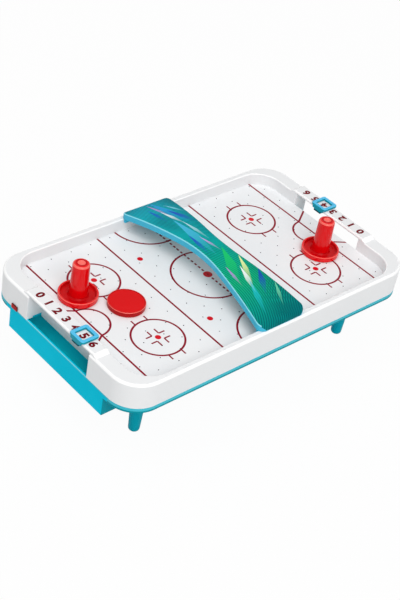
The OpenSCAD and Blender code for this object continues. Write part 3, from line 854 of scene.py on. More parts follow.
@dataclass(frozen=True)
class RinkPrint:
    """Sizes of the printed rink, in millimetres from the middle of the board."""

    line: float = 2.4
    goal_line: float = 170.5
    zone_line: float = 70.3
    dash_start: float = 2.55
    dash_pitch: float = 6.4
    dash_length: float = 3.7
    centre_circle: float = 42.9
    centre_spot: float = 5.5
    face_off: Flat = (120.5, 56.7)
    face_circle: float = 29.5
    spot: float = 3.5
    hook: Flat = (4.8, 12.9)
    tick_side: float = 8.7
    tick: Flat = (28.4, 36.0)
    neutral: Flat = (50.4, 61.7)
    side_arc: float = 44.3
    crease: float = 23.4
    flare: Flat = (20.5, 13.0)


@dataclass(frozen=True)
class Plastic:
    """Moulded plastic finish."""

    name: str
    colour: str
    rough: float = 0.32
    gloss_change: float = 0.08
    shade: str = ""
    grain: float = 2600.0
    depth: float = 0.03
    scuff: float = 0.0
    shine: float = 0.5

    def material(self, effects: SharedEffects) -> Material:
        """Builds the material.

        Args:
            effects: node groups to place.

        Returns:
            The material.
        """
        made, t, shader, where = new_material(self.name)
        face = t.node("ShaderNodeGroup", node_tree=effects.moulding)
        t.feed(face.inputs["Vector"], where)
        face.inputs["Grain Scale"].default_value = self.grain
        flow = face.outputs["Flow"]
        colour = t.blend(flow, linear(self.shade or self.colour), linear(self.colour))
        rough = t.spread(flow, 0.0, 1.0, self.rough + self.gloss_change / 2, self.rough - self.gloss_change / 2)
        if self.scuff:
            marks = t.node("ShaderNodeGroup", node_tree=effects.scuffs)
            t.feed(marks.inputs["Vector"], where)
            marks.inputs["Amount"].default_value = self.scuff
            rough = t.math("ADD", rough, t.math("MULTIPLY", marks.outputs["Mask"], 0.25))
        t.feed(shader.inputs["Base Color"], colour)
        t.feed(shader.inputs["Roughness"], rough)
        t.feed(shader.inputs["Normal"], bumped(t, face.outputs["Height"], self.depth))
        shader.inputs["Specular IOR Level"].default_value = self.shine
        return made


def new_material(name: str) -> tuple[Material, Tree, bpy.types.Node, Socket]:
    """Starts a material.

    Args:
        name: its name.

    Returns:
        The material, its builder, its shader node and the place on the object.
    """
    made = bpy.data.materials.new(name)
    made.use_nodes = True
    t = Tree(made.node_tree)
    shader = made.node_tree.nodes["Principled BSDF"]
    return made, t, shader, t.node("ShaderNodeTexCoord").outputs["Object"]


def bumped(t: Tree, height: Socket, strength: float) -> Socket:
    """Places a Bump node for a height and returns its normal.

    Args:
        t: builder of the material.
        height: height to show.
        strength: strength of the relief.

    Returns:
        The normal to feed.
    """
    bump = t.node("ShaderNodeBump")
    bump.inputs["Strength"].default_value = strength
    bump.inputs["Distance"].default_value = 0.2 * MM
    t.feed(bump.inputs["Height"], height)
    return bump.outputs["Normal"]


@dataclass(frozen=True)
class Metal:
    """Plated or brushed metal finish."""

    name: str
    colour: str
    rough: float = 0.3
    stretch: Spot = (1.0, 1.0, 12.0)

    def material(self) -> Material:
        """Builds the material, with fine drawn lines in its gloss.

        Returns:
            The material.
        """
        made, t, shader, where = new_material(self.name)
        place = t.node("ShaderNodeMapping")
        t.feed(place.inputs["Vector"], where)
        place.inputs["Scale"].default_value = self.stretch
        drawn = t.noise(place.outputs[0], 900.0, 2.0)
        t.feed(shader.inputs["Roughness"], t.spread(drawn, 0.3, 0.7, self.rough - 0.08, self.rough + 0.1))
        t.feed(shader.inputs["Base Color"], t.blend(drawn, linear(self.colour), linear("d8d8da")))
        t.feed(shader.inputs["Normal"], bumped(t, drawn, 0.05))
        shader.inputs["Metallic"].default_value = 1.0
        return made


class Finishes:
    """All materials of the table."""

    def __init__(self) -> None:
        """Builds the shared effects, then every material once."""
        fx = SharedEffects()
        self.white = Plastic(
            "white_moulding", "ecedee", 0.3, 0.02, shade="ebeced", depth=0.006, shine=0.3
        ).material(fx)
        # Painted highlight: a brighter white for the rounds along the rim's top.
        self.white_edge = Plastic(
            "white_moulding_edge", "ffffff", 0.24, 0.02, shade="fdfdfd", depth=0.006, shine=0.3
        ).material(fx)
        self.teal = Plastic("teal_moulding", "00c8e4", 0.4, shade="00c4e0", depth=0.03, shine=0.02).material(fx)
        # Painted shade: a darker teal for the band's lower half and the tray sides.
        self.teal_side = Plastic(
            "teal_tray_side", "0094a2", 0.42, shade="008f9d", depth=0.03, shine=0.05
        ).material(fx)
        # Painted light: a teal brighter than the moulding, for the faces inside the trays.
        self.teal_inside = Plastic(
            "teal_tray_inside", "18f2ff", 0.42, shade="14eefb", depth=0.03, shine=0.05
        ).material(fx)
        # Painted highlight: a pale teal for the outer part of each tray lip and the unprinted edge ring of the bridge.
        self.teal_edge = Plastic(
            "teal_bright_edge", "8ce2f2", 0.3, shade="84deef", depth=0.02, shine=0.3
        ).material(fx)
        # Painted light: a lighter teal for the band's upper half, and a painted highlight line atop each tray front.
        self.teal_band = Plastic("teal_edge_band", "44c2d2", 0.34, shade="3ebdce", depth=0.02, shine=0.1).material(fx)
        self.leg = Plastic("teal_leg", "00a2b4", 0.4, shade="009dae", depth=0.03, shine=0.05).material(fx)
        self.skirt = Plastic("bridge_moulding", "48bede", 0.3, shade="42b9da", depth=0.02, shine=0.1).material(fx)
        self.skirt_inside = Plastic(
            "bridge_moulding_inside", "7cb2ba", 0.42, shade="77adb5", depth=0.03, shine=0.05
        ).material(fx)
        self.slider = Plastic("slider_moulding", "56c2ec", 0.26, shade="50bde8", depth=0.02, shine=0.2).material(fx)
        # Painted shade: a darker teal for the slider's sides, window walls and underside.
        self.slider_side = Plastic("slider_side", "0c9db2", 0.3, shade="0896ab", depth=0.02, shine=0.1).material(fx)
        self.red = Plastic(
            "red_moulding", "ea040c", 0.1, 0.05, shade="e4040b", depth=0.01, scuff=0.15, shine=0.3
        ).material(fx)
        # Painted highlight: a pinkish red for the pushers' upper rounds and dimples and the puck's outer round.
        self.red_edge = Plastic(
            "red_bright_edge", "fa6e62", 0.1, 0.05, shade="f4655a", depth=0.01, shine=0.3
        ).material(fx)
        self.red_cap = Plastic("red_switch_cap", "c8201c", 0.3, shade="c01c18", depth=0.02, shine=0.2).material(fx)
        # Painted shade: a dark red for the switch cap's sides and rounds.
        self.red_dark = Plastic("red_switch_side", "5c0a08", 0.4, shade="540907", depth=0.02, shine=0.1).material(fx)
        self.red_top = Plastic(
            "red_puck_face", "dc060c", 0.34, shade="d6060c", depth=0.02, scuff=0.3, shine=0.1
        ).material(fx)
        # Painted shade: a deeper red for the puck's side and the step inside its lip.
        self.red_step = Plastic("red_puck_side", "b00408", 0.3, shade="a80408", depth=0.02, shine=0.15).material(fx)
        # Grained, with a darker red as painted shade, for the pusher dishes and knob tops.
        self.red_dish = Plastic(
            "red_grained_dish", "cc050c", 0.22, shade="c0040b", grain=3800.0, depth=0.06, shine=0.08
        ).material(fx)
        self.dark = Plastic("dark_moulding", "2a2d30", 0.45, shade="232629", depth=0.08).material(fx)
        self.pale = Plastic("pale_moulding", "e4e2da", 0.42, shade="dcdad1", depth=0.05).material(fx)
        self.lead = Plastic("lead_cover", "a81c18", 0.45, shade="981612", depth=0.05).material(fx)
        self.steel = Metal("plated_steel", "b9bbbe", 0.28).material()
        self.nickel = Metal("nickel_contact", "c9c6bc", 0.22).material()
        self.ink = self._ink()
        self.board = self._board(fx)
        self.bridge_top = self._bridge_top(fx)
        self.felt = self._felt()
        self.wrap = self._wrap()

    @staticmethod
    def _ink() -> Material:
        """Printed score numbers: flat red ink with a slightly broken edge of gloss.

        Returns:
            The material.
        """
        made, t, shader, where = new_material("score_ink")
        cover = t.noise(where, 1500.0, 2.0)
        t.feed(shader.inputs["Base Color"], t.blend(t.spread(cover, 0.3, 0.7), linear("6c000e"), linear("760211")))
        t.feed(shader.inputs["Roughness"], t.spread(cover, 0.3, 0.7, 0.34, 0.46))
        shader.inputs["Specular IOR Level"].default_value = 0.1
        return made

    @staticmethod
    def _board(effects: SharedEffects) -> Material:
        """Pale sheet with the printed rink and light play marks.

        Args:
            effects: node groups to place.

        Returns:
            The material.
        """
        made, t, shader, where = new_material("printed_board")
        face = t.node("ShaderNodeGroup", node_tree=effects.moulding)
        t.feed(face.inputs["Vector"], where)
        face.inputs["Grain Scale"].default_value = 1800.0
        rink = t.node("ShaderNodeGroup", node_tree=effects.rink)
        t.feed(rink.inputs["Vector"], where)
        marks = t.node("ShaderNodeGroup", node_tree=effects.scuffs)
        t.feed(marks.inputs["Vector"], where)
        marks.inputs["Amount"].default_value = 0.5
        sheet = t.blend(face.outputs["Flow"], linear("eceef0"), linear("eff0f1"))
        ink = t.blend(rink.outputs["Spot"], linear("8c0022"), linear("d40c20"))
        t.feed(shader.inputs["Base Color"], t.blend(rink.outputs["Ink"], sheet, ink))
        rough = t.math("ADD", t.math("MULTIPLY", marks.outputs["Mask"], 0.12), 0.3)
        t.feed(shader.inputs["Roughness"], t.math("ADD", rough, t.math("MULTIPLY", rink.outputs["Ink"], 0.06)))
        t.feed(shader.inputs["Normal"], bumped(t, face.outputs["Height"], 0.02))
        shader.inputs["Specular IOR Level"].default_value = 0.12
        return made

    @staticmethod
    def _bridge_top(effects: SharedEffects) -> Material:
        """Glossy printed film on the bridge.

        Args:
            effects: node groups to place.

        Returns:
            The material.
        """
        made, t, shader, where = new_material("bridge_film")
        art = t.node("ShaderNodeGroup", node_tree=effects.bridge_art)
        t.feed(art.inputs["Vector"], where)
        t.feed(shader.inputs["Base Color"], art.outputs["Color"])
        t.feed(shader.inputs["Roughness"], t.spread(art.outputs["Gloss"], 0.0, 1.0, 0.22, 0.32))
        shader.inputs["Specular IOR Level"].default_value = 0.02
        return made

    @staticmethod
    def _felt() -> Material:
        """Matted fibres of the pusher pads.

        Returns:
            The material.
        """
        made, t, shader, where = new_material("pad_felt")
        fibre = t.noise(where, 1400.0, 6.0, 0.75)
        t.feed(shader.inputs["Base Color"], t.blend(t.spread(fibre, 0.3, 0.7), linear("2c2c30"), linear("55555c")))
        t.feed(shader.inputs["Normal"], bumped(t, fibre, 0.8))
        shader.inputs["Roughness"].default_value = 0.95
        shader.inputs["Sheen Weight"].default_value = 0.4
        return made

    @staticmethod
    def _wrap() -> Material:
        """Two-colour sleeve of the cells, split along their length.

        Returns:
            The material.
        """
        made, t, shader, where = new_material("cell_sleeve")
        x, y, _ = t.axes(where, 1 / MM)
        row = t.math("ADD", t.math("DIVIDE", y, Works.pitch), 4.0)
        turned = t.math("GREATER_THAN", t.math("MODULO", row, 2.0), 1.0)
        along = t.math("MULTIPLY", t.math("SUBTRACT", x, Works.bay_x), t.math("MULTIPLY_ADD", turned, 2.0, -1.0))
        print_edge = t.spread(along, -12.4, -11.8)
        flow = t.noise(where, 60.0, 3.0)
        gold = t.blend(flow, linear("b8862a"), linear("cf9d3c"))
        t.feed(shader.inputs["Base Color"], t.blend(print_edge, gold, linear("1f2226")))
        t.feed(shader.inputs["Roughness"], t.spread(flow, 0.3, 0.7, 0.24, 0.34))
        t.feed(shader.inputs["Metallic"], t.spread(print_edge, 0.0, 1.0, 0.7, 0.0))
        return made


# Sub-assemblies


class CasingCoat(IntEnum):
    """Finishes of the lower casing, by number."""

    PLAIN = 0
    # Painted shade on the band's lower half and on the tray sides.
    SIDE = 1
    # Painted light inside the trays.
    INSIDE = 2
    # Painted highlight on the outer part of each tray lip.
    EDGE = 3
    # Painted light on the band's upper half, and a painted highlight line atop each tray front.
    BAND = 4


class BridgeCoat(IntEnum):
    """Finishes of the bridge, by number."""

    SKIRT = 0
    FILM = 1
    # Painted highlight on the unprinted ring along the edge.
    EDGE = 2
    INSIDE = 3


class PusherCoat(IntEnum):
    """Finishes of a pusher, by number."""

    PLAIN = 0
    # Grained, and darker as painted shade, in the dish and on the knob's top.
    GRAINED = 1
    # Painted highlight on the upper rounds and the dimple.
    BRIGHT = 2


class PuckCoat(IntEnum):
    """Finishes of the puck, by number."""

    FACE = 0
    # Painted highlight on the outer round.
    BRIGHT = 1
    # Painted shade on the side and the step inside the lip.
    DEEP = 2


@dataclass
class RimFrame:
    """White moulding: rounded rim, walls, goal sides and score rails."""

    rim_round: float = 3.2
    field_round: float = 1.5
    foot_round: float = 0.5
    wall: float = 2.4
    inner_wall: float = 2.0
    jamb: float = 2.4
    apron_wall: float = 2.0
    apron_foot: float = 77.2
    apron_proud: float = 0.1
    lug: float = 8.5
    rail_flat: float = 59.0
    rail_ramp: float = 5.0
    rail_round: float = 2.2
    rail_thick: float = 3.0
    boss: Flat = (197.0, 97.0)
    boss_d: float = 7.4
    bore_d: float = 2.9
    boss_cap: float = 6.0
    corner_steps: int = 16

    def half_loop(self, length: float, width: float, corner: float, start: float) -> list[tuple[Flat, Flat]]:
        """Path from the left goal round the near side to the right goal.

        Args:
            length: half length of the outline.
            width: half width of the outline.
            corner: its corner radius.
            start: distance of the goal's side from the middle.

        Returns:
            Points with their outward directions.
        """
        path: list[tuple[Flat, Flat]] = []
        turn_x, turn_y = length - corner, width - corner
        for k in range(4):
            path.append(((-length, -start - (turn_y - start) * k / 4), (-1.0, 0.0)))
        for side in (0, 1):
            for k in range(self.corner_steps + 1):
                a = math.pi + math.pi / 2 * (side + k / self.corner_steps)
                c, s = math.cos(a), math.sin(a)
                path.append((((side * 2 - 1) * turn_x + corner * c, -turn_y + corner * s), (c, s)))
            if side == 0:
                path += [((-turn_x + turn_x * k / 6, -width), (0.0, -1.0)) for k in range(1, 12)]
        for k in range(3, -1, -1):
            path.append(((length, -start - (turn_y - start) * k / 4), (1.0, 0.0)))
        return path

    def profile(self) -> list[tuple[bool, float, float]]:
        """Section of the walls and rim, as (on the outer path, reach outward, height).

        Returns:
            The points of the section.
        """
        t = TABLE
        foot = [(True, -i, t.wall_foot + d) for i, d in reversed(quarter(self.foot_round, 3))]
        outer = [(True, -i, t.rim - d) for i, d in quarter(self.rim_round, 8)]
        inner = [(False, i, t.rim - d) for i, d in reversed(quarter(self.field_round, 6))]
        return foot + outer + inner + [
            (False, 0.0, t.play),
            (False, self.inner_wall, t.play),
            (False, self.inner_wall, t.rim - self.wall),
            (True, -self.wall, t.rim - self.wall),
            (True, -self.wall, t.wall_foot),
        ]

    def walls(self, shell: Shell, far: bool) -> None:
        """Adds the walls and rim of one long half.

        Args:
            shell: the shell to add to.
            far: whether it is the far half.
        """
        t = TABLE
        start = t.goal_half + self.jamb
        outer = self.half_loop(t.half_length, t.half_width, t.corner, start)
        inner = self.half_loop(t.field_half_length, t.field_half_width, t.field_corner, start)
        sign = -1.0 if far else 1.0
        rows = []
        for (op, on), (ip, inn) in zip(outer, inner):
            row = []
            for on_outer, reach, height in self.profile():
                (px, py), (nx, ny) = (op, on) if on_outer else (ip, inn)
                row.append((sign * (px + nx * reach), sign * (py + ny * reach), height))
            rows.append(shell.ring(row))
        for a, b in zip(rows, rows[1:]):
            shell.skin(a, b)
        shell.face(rows[0])
        shell.face(rows[-1])

    def goal_side(self, shell: Shell, sx: int, sy: int) -> None:
        """Adds the plate beside one goal mouth, with its lug.

        Args:
            shell: the shell to add to.
            sx: sign of the end along the length.
            sy: sign of the side across the width.
        """
        t = TABLE
        outline = fillet(
            [
                (t.field_half_length - self.apron_wall, t.apron, 0.0),
                (t.half_length - self.lug, t.apron, 0.0),
                (t.half_length - self.lug, t.wall_foot, 0.5),
                (t.half_length, t.wall_foot, 0.5),
                (t.half_length, t.rim, self.rim_round),
                (t.field_half_length, t.rim, self.field_round),
                (t.field_half_length, t.board_under, 0.0),
                (t.field_half_length - self.apron_wall, t.board_under, 0.0),
            ],
            steps=6,
        )
        shell.prism(
            outline, t.goal_half, t.goal_half + self.jamb, lambda u, v, w: (sx * u, sy * w, v), soft_low=0.5
        )

    def score_rail(self, shell: Shell, sx: int) -> None:
        """Adds one raised rail over a goal mouth, with its ramps.

        Args:
            shell: the shell to add to.
            sx: sign of the end along the length.
        """
        t = TABLE
        foot, low = self.rail_flat + self.rail_ramp, t.rim - 1.0
        outline = fillet(
            [
                (-foot, low, 0.0), (-t.goal_half, low, 0.0), (-t.goal_half, t.rail - self.rail_thick, 0.3),
                (t.goal_half, t.rail - self.rail_thick, 0.3), (t.goal_half, low, 0.0), (foot, low, 0.0),
                (foot, t.rim, 0.0), (self.rail_flat, t.rail, 1.2), (-self.rail_flat, t.rail, 1.2), (-foot, t.rim, 0.0),
            ],
            steps=6,
        )
        rows = [(t.field_half_length + i, t.rail - d) for i, d in quarter(self.rail_round, 6)]
        rows += [(2 * t.rail_middle - x, lid) for x, lid in reversed(rows)]
        rings = [
            shell.ring((sx * x, y, min(z, lid) if z > t.rim - 0.01 else z) for y, z in outline) for x, lid in rows
        ]
        for first, second in zip(rings, rings[1:]):
            shell.skin(first, second)
        shell.face(rings[0])
        shell.face(rings[-1])

    def apron(self, shell: Shell, sx: int) -> None:
        """Adds the wall below the board's edge in one goal.

        Args:
            shell: the shell to add to.
            sx: sign of the end along the length.
        """
        t = TABLE
        inner = t.field_half_length - self.apron_wall
        outline = round_box((-t.goal_half - 0.05, self.apron_foot), (t.goal_half + 0.05, t.board_under), 0.2, 2)
        shell.prism(
            outline, inner, t.field_half_length + self.apron_proud, lambda u, v, w: (sx * w, u, v), soft_low=0.3,
            soft_high=0.3, steps=2,
        )

    def build(self, finishes: Finishes) -> Piece:
        """Builds the moulding, seats it on the table and returns it.

        Args:
            finishes: the table's materials.

        Returns:
            The piece.
        """
        shell = Shell()
        for far in (False, True):
            self.walls(shell, far)
        for sx in (-1, 1):
            self.score_rail(shell, sx)
            self.apron(shell, sx)
            for sy in (-1, 1):
                self.goal_side(shell, sx, sy)
                bore, top = self.bore_d / 2, TABLE.rim - self.wall / 2
                profile = [
                    (bore, TABLE.apron), (self.boss_d / 2, TABLE.apron), (self.boss_d / 2, top), (0.0, top),
                    (0.0, top - self.boss_cap), (bore, top - self.boss_cap),
                ]
                shell.lathe(profile, sx * self.boss[0], sy * self.boss[1], 32, closed=True)
        made = shell.piece("rim_frame", [finishes.white, finishes.white_edge])
        # Rounds near the rim's top take the painted highlight.
        paint(made, lambda at, way: int(at.z > TABLE.rim - self.rim_round and 0.25 < way.z < 0.99))
        return seat(made, "table", "white_plastic", "upper_frame")


def seat(piece: Piece, body: str, slot: str, *nodes: str) -> Piece:
    """Lets a piece ride on a body and hides the solids that it stands for.

    Args:
        piece: the piece.
        body: the body that carries it.
        slot: the record's material slot; not used.
        nodes: solids of the frame that it replaces.

    Returns:
        The piece.
    """
    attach(piece, body)
    if nodes:
        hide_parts(*nodes)
    log.info("%s rides on %s for %s", piece.name, body, ", ".join(nodes) or "no solid")
    return piece


@dataclass
class PlayBoard:
    """Perforated sheet with round air holes, whose walls are painted dark as shade."""

    lap: float = 1.8
    notch: float = 2.6
    pitch: float = 13.95
    hole: float = 0.75
    margin: float = 4.5
    hole_steps: int = 12

    def on_field(self, x: float, y: float) -> bool:
        """Says whether a hole's place is clear of the field's edge and corners.

        Args:
            x: place along the length.
            y: place across the width.

        Returns:
            Whether it is clear.
        """
        t = TABLE
        dx, dy = abs(x) - (t.field_half_length - t.field_corner), abs(y) - (t.field_half_width - t.field_corner)
        inside = abs(x) < t.field_half_length - self.margin and abs(y) < t.field_half_width - self.margin
        return inside and (dx < 0 or dy < 0 or math.hypot(dx, dy) < t.field_corner - self.margin)

    def outline(self) -> list[Flat]:
        """Edge of the sheet, notched at both goals, counter-clockwise.

        Returns:
            The points.
        """
        t = TABLE
        length, width = t.field_half_length + self.lap, t.field_half_width + self.lap
        notch, corner = t.goal_half + self.notch, t.field_corner + self.lap
        half = [
            (t.field_half_length, -notch, 0.0), (length, -notch, 0.0), (length, -width, corner),
            (-length, -width, corner), (-length, -notch, 0.0), (-t.field_half_length, -notch, 0.0),
        ]
        path = list(reversed(half)) + [(-x, -y, r) for x, y, r in reversed(half)]
        return fillet(path, steps=12)

    def holes(self) -> list[Flat]:
        """Middles of the staggered holes.

        Returns:
            The middles.
        """
        t = TABLE
        columns, rows = int(t.field_half_length / self.pitch), int(t.field_half_width / self.pitch)
        places = [
            (i * self.pitch, j * self.pitch)
            for i in range(-columns, columns + 1)
            for j in range(-rows, rows + 1)
            if (i + j) % 2 == 0
        ]
        return [p for p in places if self.on_field(*p)]

    def build(self, finishes: Finishes) -> Piece:
        """Builds the sheet and returns it.

        Args:
            finishes: the table's materials.

        Returns:
            The piece.
        """
        shell = Shell()
        edge = self.outline()
        angles = [math.tau * k / self.hole_steps for k in range(self.hole_steps)]
        loops = [edge] + [
            [(x + math.cos(a), y + math.sin(a)) for a in angles] for x, y in self.holes()
        ]
        middles = [(0.0, 0.0)] + self.holes()
        z_top, z_low = TABLE.play, TABLE.board_under
        for level in (z_top, z_low):
            flat: list[Vector] = []
            rings: list[list[int]] = []
            for (cx, cy), loop in zip(middles, loops):
                grow = 1.0 if loop is edge else self.hole
                start = len(flat)
                flat += [Vector((cx + (x - cx) * grow, cy + (y - cy) * grow)) for x, y in loop]
                rings.append(list(range(start, len(flat))))
            sides = [(r[i], r[(i + 1) % len(r)]) for r in rings for i in range(len(r))]
            points, _, faces, origin, _, _ = delaunay_2d_cdt(flat, sides, [], 2, 1e-6, True)
            ids = shell.ring((p.x, p.y, level) for p in points)
            owner = {i: n for n, ring in enumerate(rings) for i in ring}
            for face in faces:
                owners = {owner[origin[i][0]] for i in face}
                middle = sum((points[i] for i in face), Vector((0.0, 0.0))) / len(face)
                in_notch = abs(middle.x) > TABLE.field_half_length and abs(middle.y) < TABLE.goal_half + self.notch
                if (len(owners) > 1 or owners == {0}) and not in_notch:
                    shell.face([ids[i] for i in face])
            back = {old: ids[new] for new, olds in enumerate(origin) for old in olds}
            if level == z_top:
                upper = [[back[i] for i in r] for r in rings]
            else:
                lower = [[back[i] for i in r] for r in rings]
        shell.skin(upper[0], lower[0])
        for high, low in zip(upper[1:], lower[1:]):
            # Hole walls take the dark moulding as painted shade.
            shell.skin(high, low, mark=1)
        made = shell.piece("play_sheet", [finishes.board, finishes.dark])
        return seat(made, "table", "board", "play_board")


@dataclass
class BasePan:
    """Teal lower casing with its trays, door, fan cover and legs."""

    band_round: float = 0.8
    # Where painted light meets painted shade on the band, where the painted highlight line on each tray front starts,
    # and where the painted highlight on each lip starts.
    band_split: float = 76.4
    front_line: float = 78.8
    lip_split: float = 211.4
    lip_inner: float = 200.0
    tray_middle: float = 190.0
    near: float = 0.1
    leg: Flat = (159.0, 81.0)
    leg_top: float = 9.85
    leg_foot: float = 6.3
    foot_round: float = 4.2
    plug: float = 5.5
    plug_height: float = 8.0

    def casing(self, finishes: Finishes) -> Piece:
        """Copies the pan and rounds the edges that show.

        Args:
            finishes: the table's materials.

        Returns:
            The casing.
        """
        t = TABLE

        def on_side(x: float, y: float) -> bool:
            """Says whether a place is on the long sides or the round corners of the band."""
            past_x, past_y = x - (t.half_length - t.corner), y - (t.half_width - t.corner)
            return y > t.half_width - 1 or math.hypot(max(0.0, past_x), max(0.0, past_y)) > t.corner - 0.5

        def shows(middle: Vector, run: Vector) -> bool:
            """Says whether an edge is on the outside of the band or a tray.

            Args:
                middle: middle of the edge, in millimetres.
                run: direction of the edge.

            Returns:
                Whether it is.
            """
            x, y, z = abs(middle.x), abs(middle.y), middle.z
            band = (x > t.half_length - 1 or on_side(x, y)) and abs(z - t.pan) < self.near and abs(run.z) < self.near
            on_tray = x > t.tray_back - 0.5 and y < t.tray_half + 0.2 and z < t.pan - 0.2
            on_edge = abs(y - t.tray_half) < self.near or abs(x - t.tray_back) < self.near or x > t.half_length - 0.5
            return band or (on_tray and on_edge)

        def on_band(at: Vector, way: Vector) -> bool:
            """Says whether a face is on the outside of the edge band, beside the trays.

            Args:
                at: middle of the face, in millimetres.
                way: direction of the face.

            Returns:
                Whether it is.
            """
            x, y = abs(at.x), abs(at.y)
            outer = on_side(x, y) or (x > t.half_length - 1 and y > t.tray_half)
            return outer and t.pan - self.near < at.z < t.wall_foot + self.near and abs(way.z) < 0.9

        def on_front(at: Vector, way: Vector) -> bool:
            """Says whether a face is on the front of a tray."""
            return abs(at.x) > t.half_length - self.near and abs(at.y) < t.tray_half and abs(way.x) > 0.9

        def on_lip(at: Vector, way: Vector) -> bool:
            """Says whether a face is on the top of a tray's front wall."""
            level = abs(at.z - t.wall_foot) < self.near and way.z > 0.9
            return level and abs(at.x) > self.lip_inner and abs(at.y) < t.goal_half

        def finish(at: Vector, way: Vector) -> int:
            """Picks the finish of a face of the casing, with painted light, painted shade and painted highlights on
            some faces.

            Args:
                at: middle of the face, in millimetres.
                way: direction of the face.

            Returns:
                The finish number.
            """
            x, y, z = abs(at.x), abs(at.y), at.z
            # Painted highlight on the outer part of each tray lip.
            if x > self.lip_inner and y < t.goal_half + 2.5 and z > t.wall_foot - 1.0 and way.z > 0.3:
                return CasingCoat.EDGE if x > self.lip_split else CasingCoat.PLAIN
            if on_band(at, way):
                # Painted light on the band's upper half, painted shade on its lower half.
                return CasingCoat.BAND if z > self.band_split else CasingCoat.SIDE
            if on_front(at, way) and z > self.front_line:
                # Painted highlight line along the top of each tray front.
                return CasingCoat.BAND
            along = t.tray_back - 0.5 < x < t.half_length + 2.0
            if not (along and y < t.tray_half + 2.0 and z < t.wall_foot - 0.2):
                return CasingCoat.PLAIN
            if y > t.tray_half - 1.0 and abs(way.y) > 0.5:
                # Painted shade on the tray sides.
                return CasingCoat.SIDE
            inward = way.x * at.x < 0.0 if x > self.tray_middle else way.x * at.x > 0.0
            inside = z > t.tray_floor + 0.5 and y < t.tray_half - 1.0
            faces_in = way.z > 0.5 or (abs(way.x) > 0.5 and inward) or way.y * at.y < -0.5
            # Painted light on the faces inside each tray.
            return CasingCoat.INSIDE if inside and faces_in else CasingCoat.PLAIN

        coats = [finishes.teal, finishes.teal_side, finishes.teal_inside, finishes.teal_edge, finishes.teal_band]
        made = softened("base_pan", "lower_casing", coats, self.band_round, shows, 3)
        # These cuts let the painted light, painted shade and painted highlights meet along straight lines.
        for sign in (-1.0, 1.0):
            across = Vector((0.0, sign, 0.0))
            parted(made, across, t.goal_half + 1.0, lambda at, way: abs(at.z - t.wall_foot) < self.near)
            parted(made, Vector((sign, 0.0, 0.0)), self.lip_split, on_lip)
        parted(made, Vector((0.0, 0.0, 1.0)), self.band_split, on_band)
        parted(made, Vector((0.0, 0.0, 1.0)), self.front_line, on_front)
        paint(made, finish)
        return seat(made, "table", "teal_plastic", "base_pan")

    def legs(self, finishes: Finishes) -> None:
        """Builds the four tapered legs.

        Args:
            finishes: the table's materials.
        """
        t = TABLE
        profile = fillet(
            [
                (0.0, 0.0, 0.0), (self.leg_foot, 0.0, self.foot_round), (self.leg_top, t.pan, 0.4),
                (self.plug, t.pan, 0.0), (self.plug, t.pan + self.plug_height, 1.0),
                (0.0, t.pan + self.plug_height, 0.0),
            ],
            closed=False,
            steps=6,
        )
        for along, sx in (("left", -1), ("right", 1)):
            for across, sy in (("near", -1), ("far", 1)):
                shell = Shell()
                shell.lathe(profile, sx * self.leg[0], sy * self.leg[1], 64)
                made = shell.piece(f"leg_{across}_{along}_turned", [finishes.leg])
                seat(made, "table", "teal_plastic", f"leg_{across}_{along}")

    def covers(self, finishes: Finishes) -> None:
        """Softens the fan cover and the cell door.

        Args:
            finishes: the table's materials.
        """
        made = softened("fan_housing", "fan_cover", [finishes.dark], 0.35)
        seat(made, "table", "dark_plastic", "fan_housing")
        made = softened("battery_door", "cell_door", [finishes.teal], 0.3)
        seat(made, "door", "teal_plastic", "battery_door")

    def build(self, finishes: Finishes) -> None:
        """Builds the casing, legs and covers.

        Args:
            finishes: the table's materials.
        """
        self.casing(finishes)
        self.legs(finishes)
        self.covers(finishes)


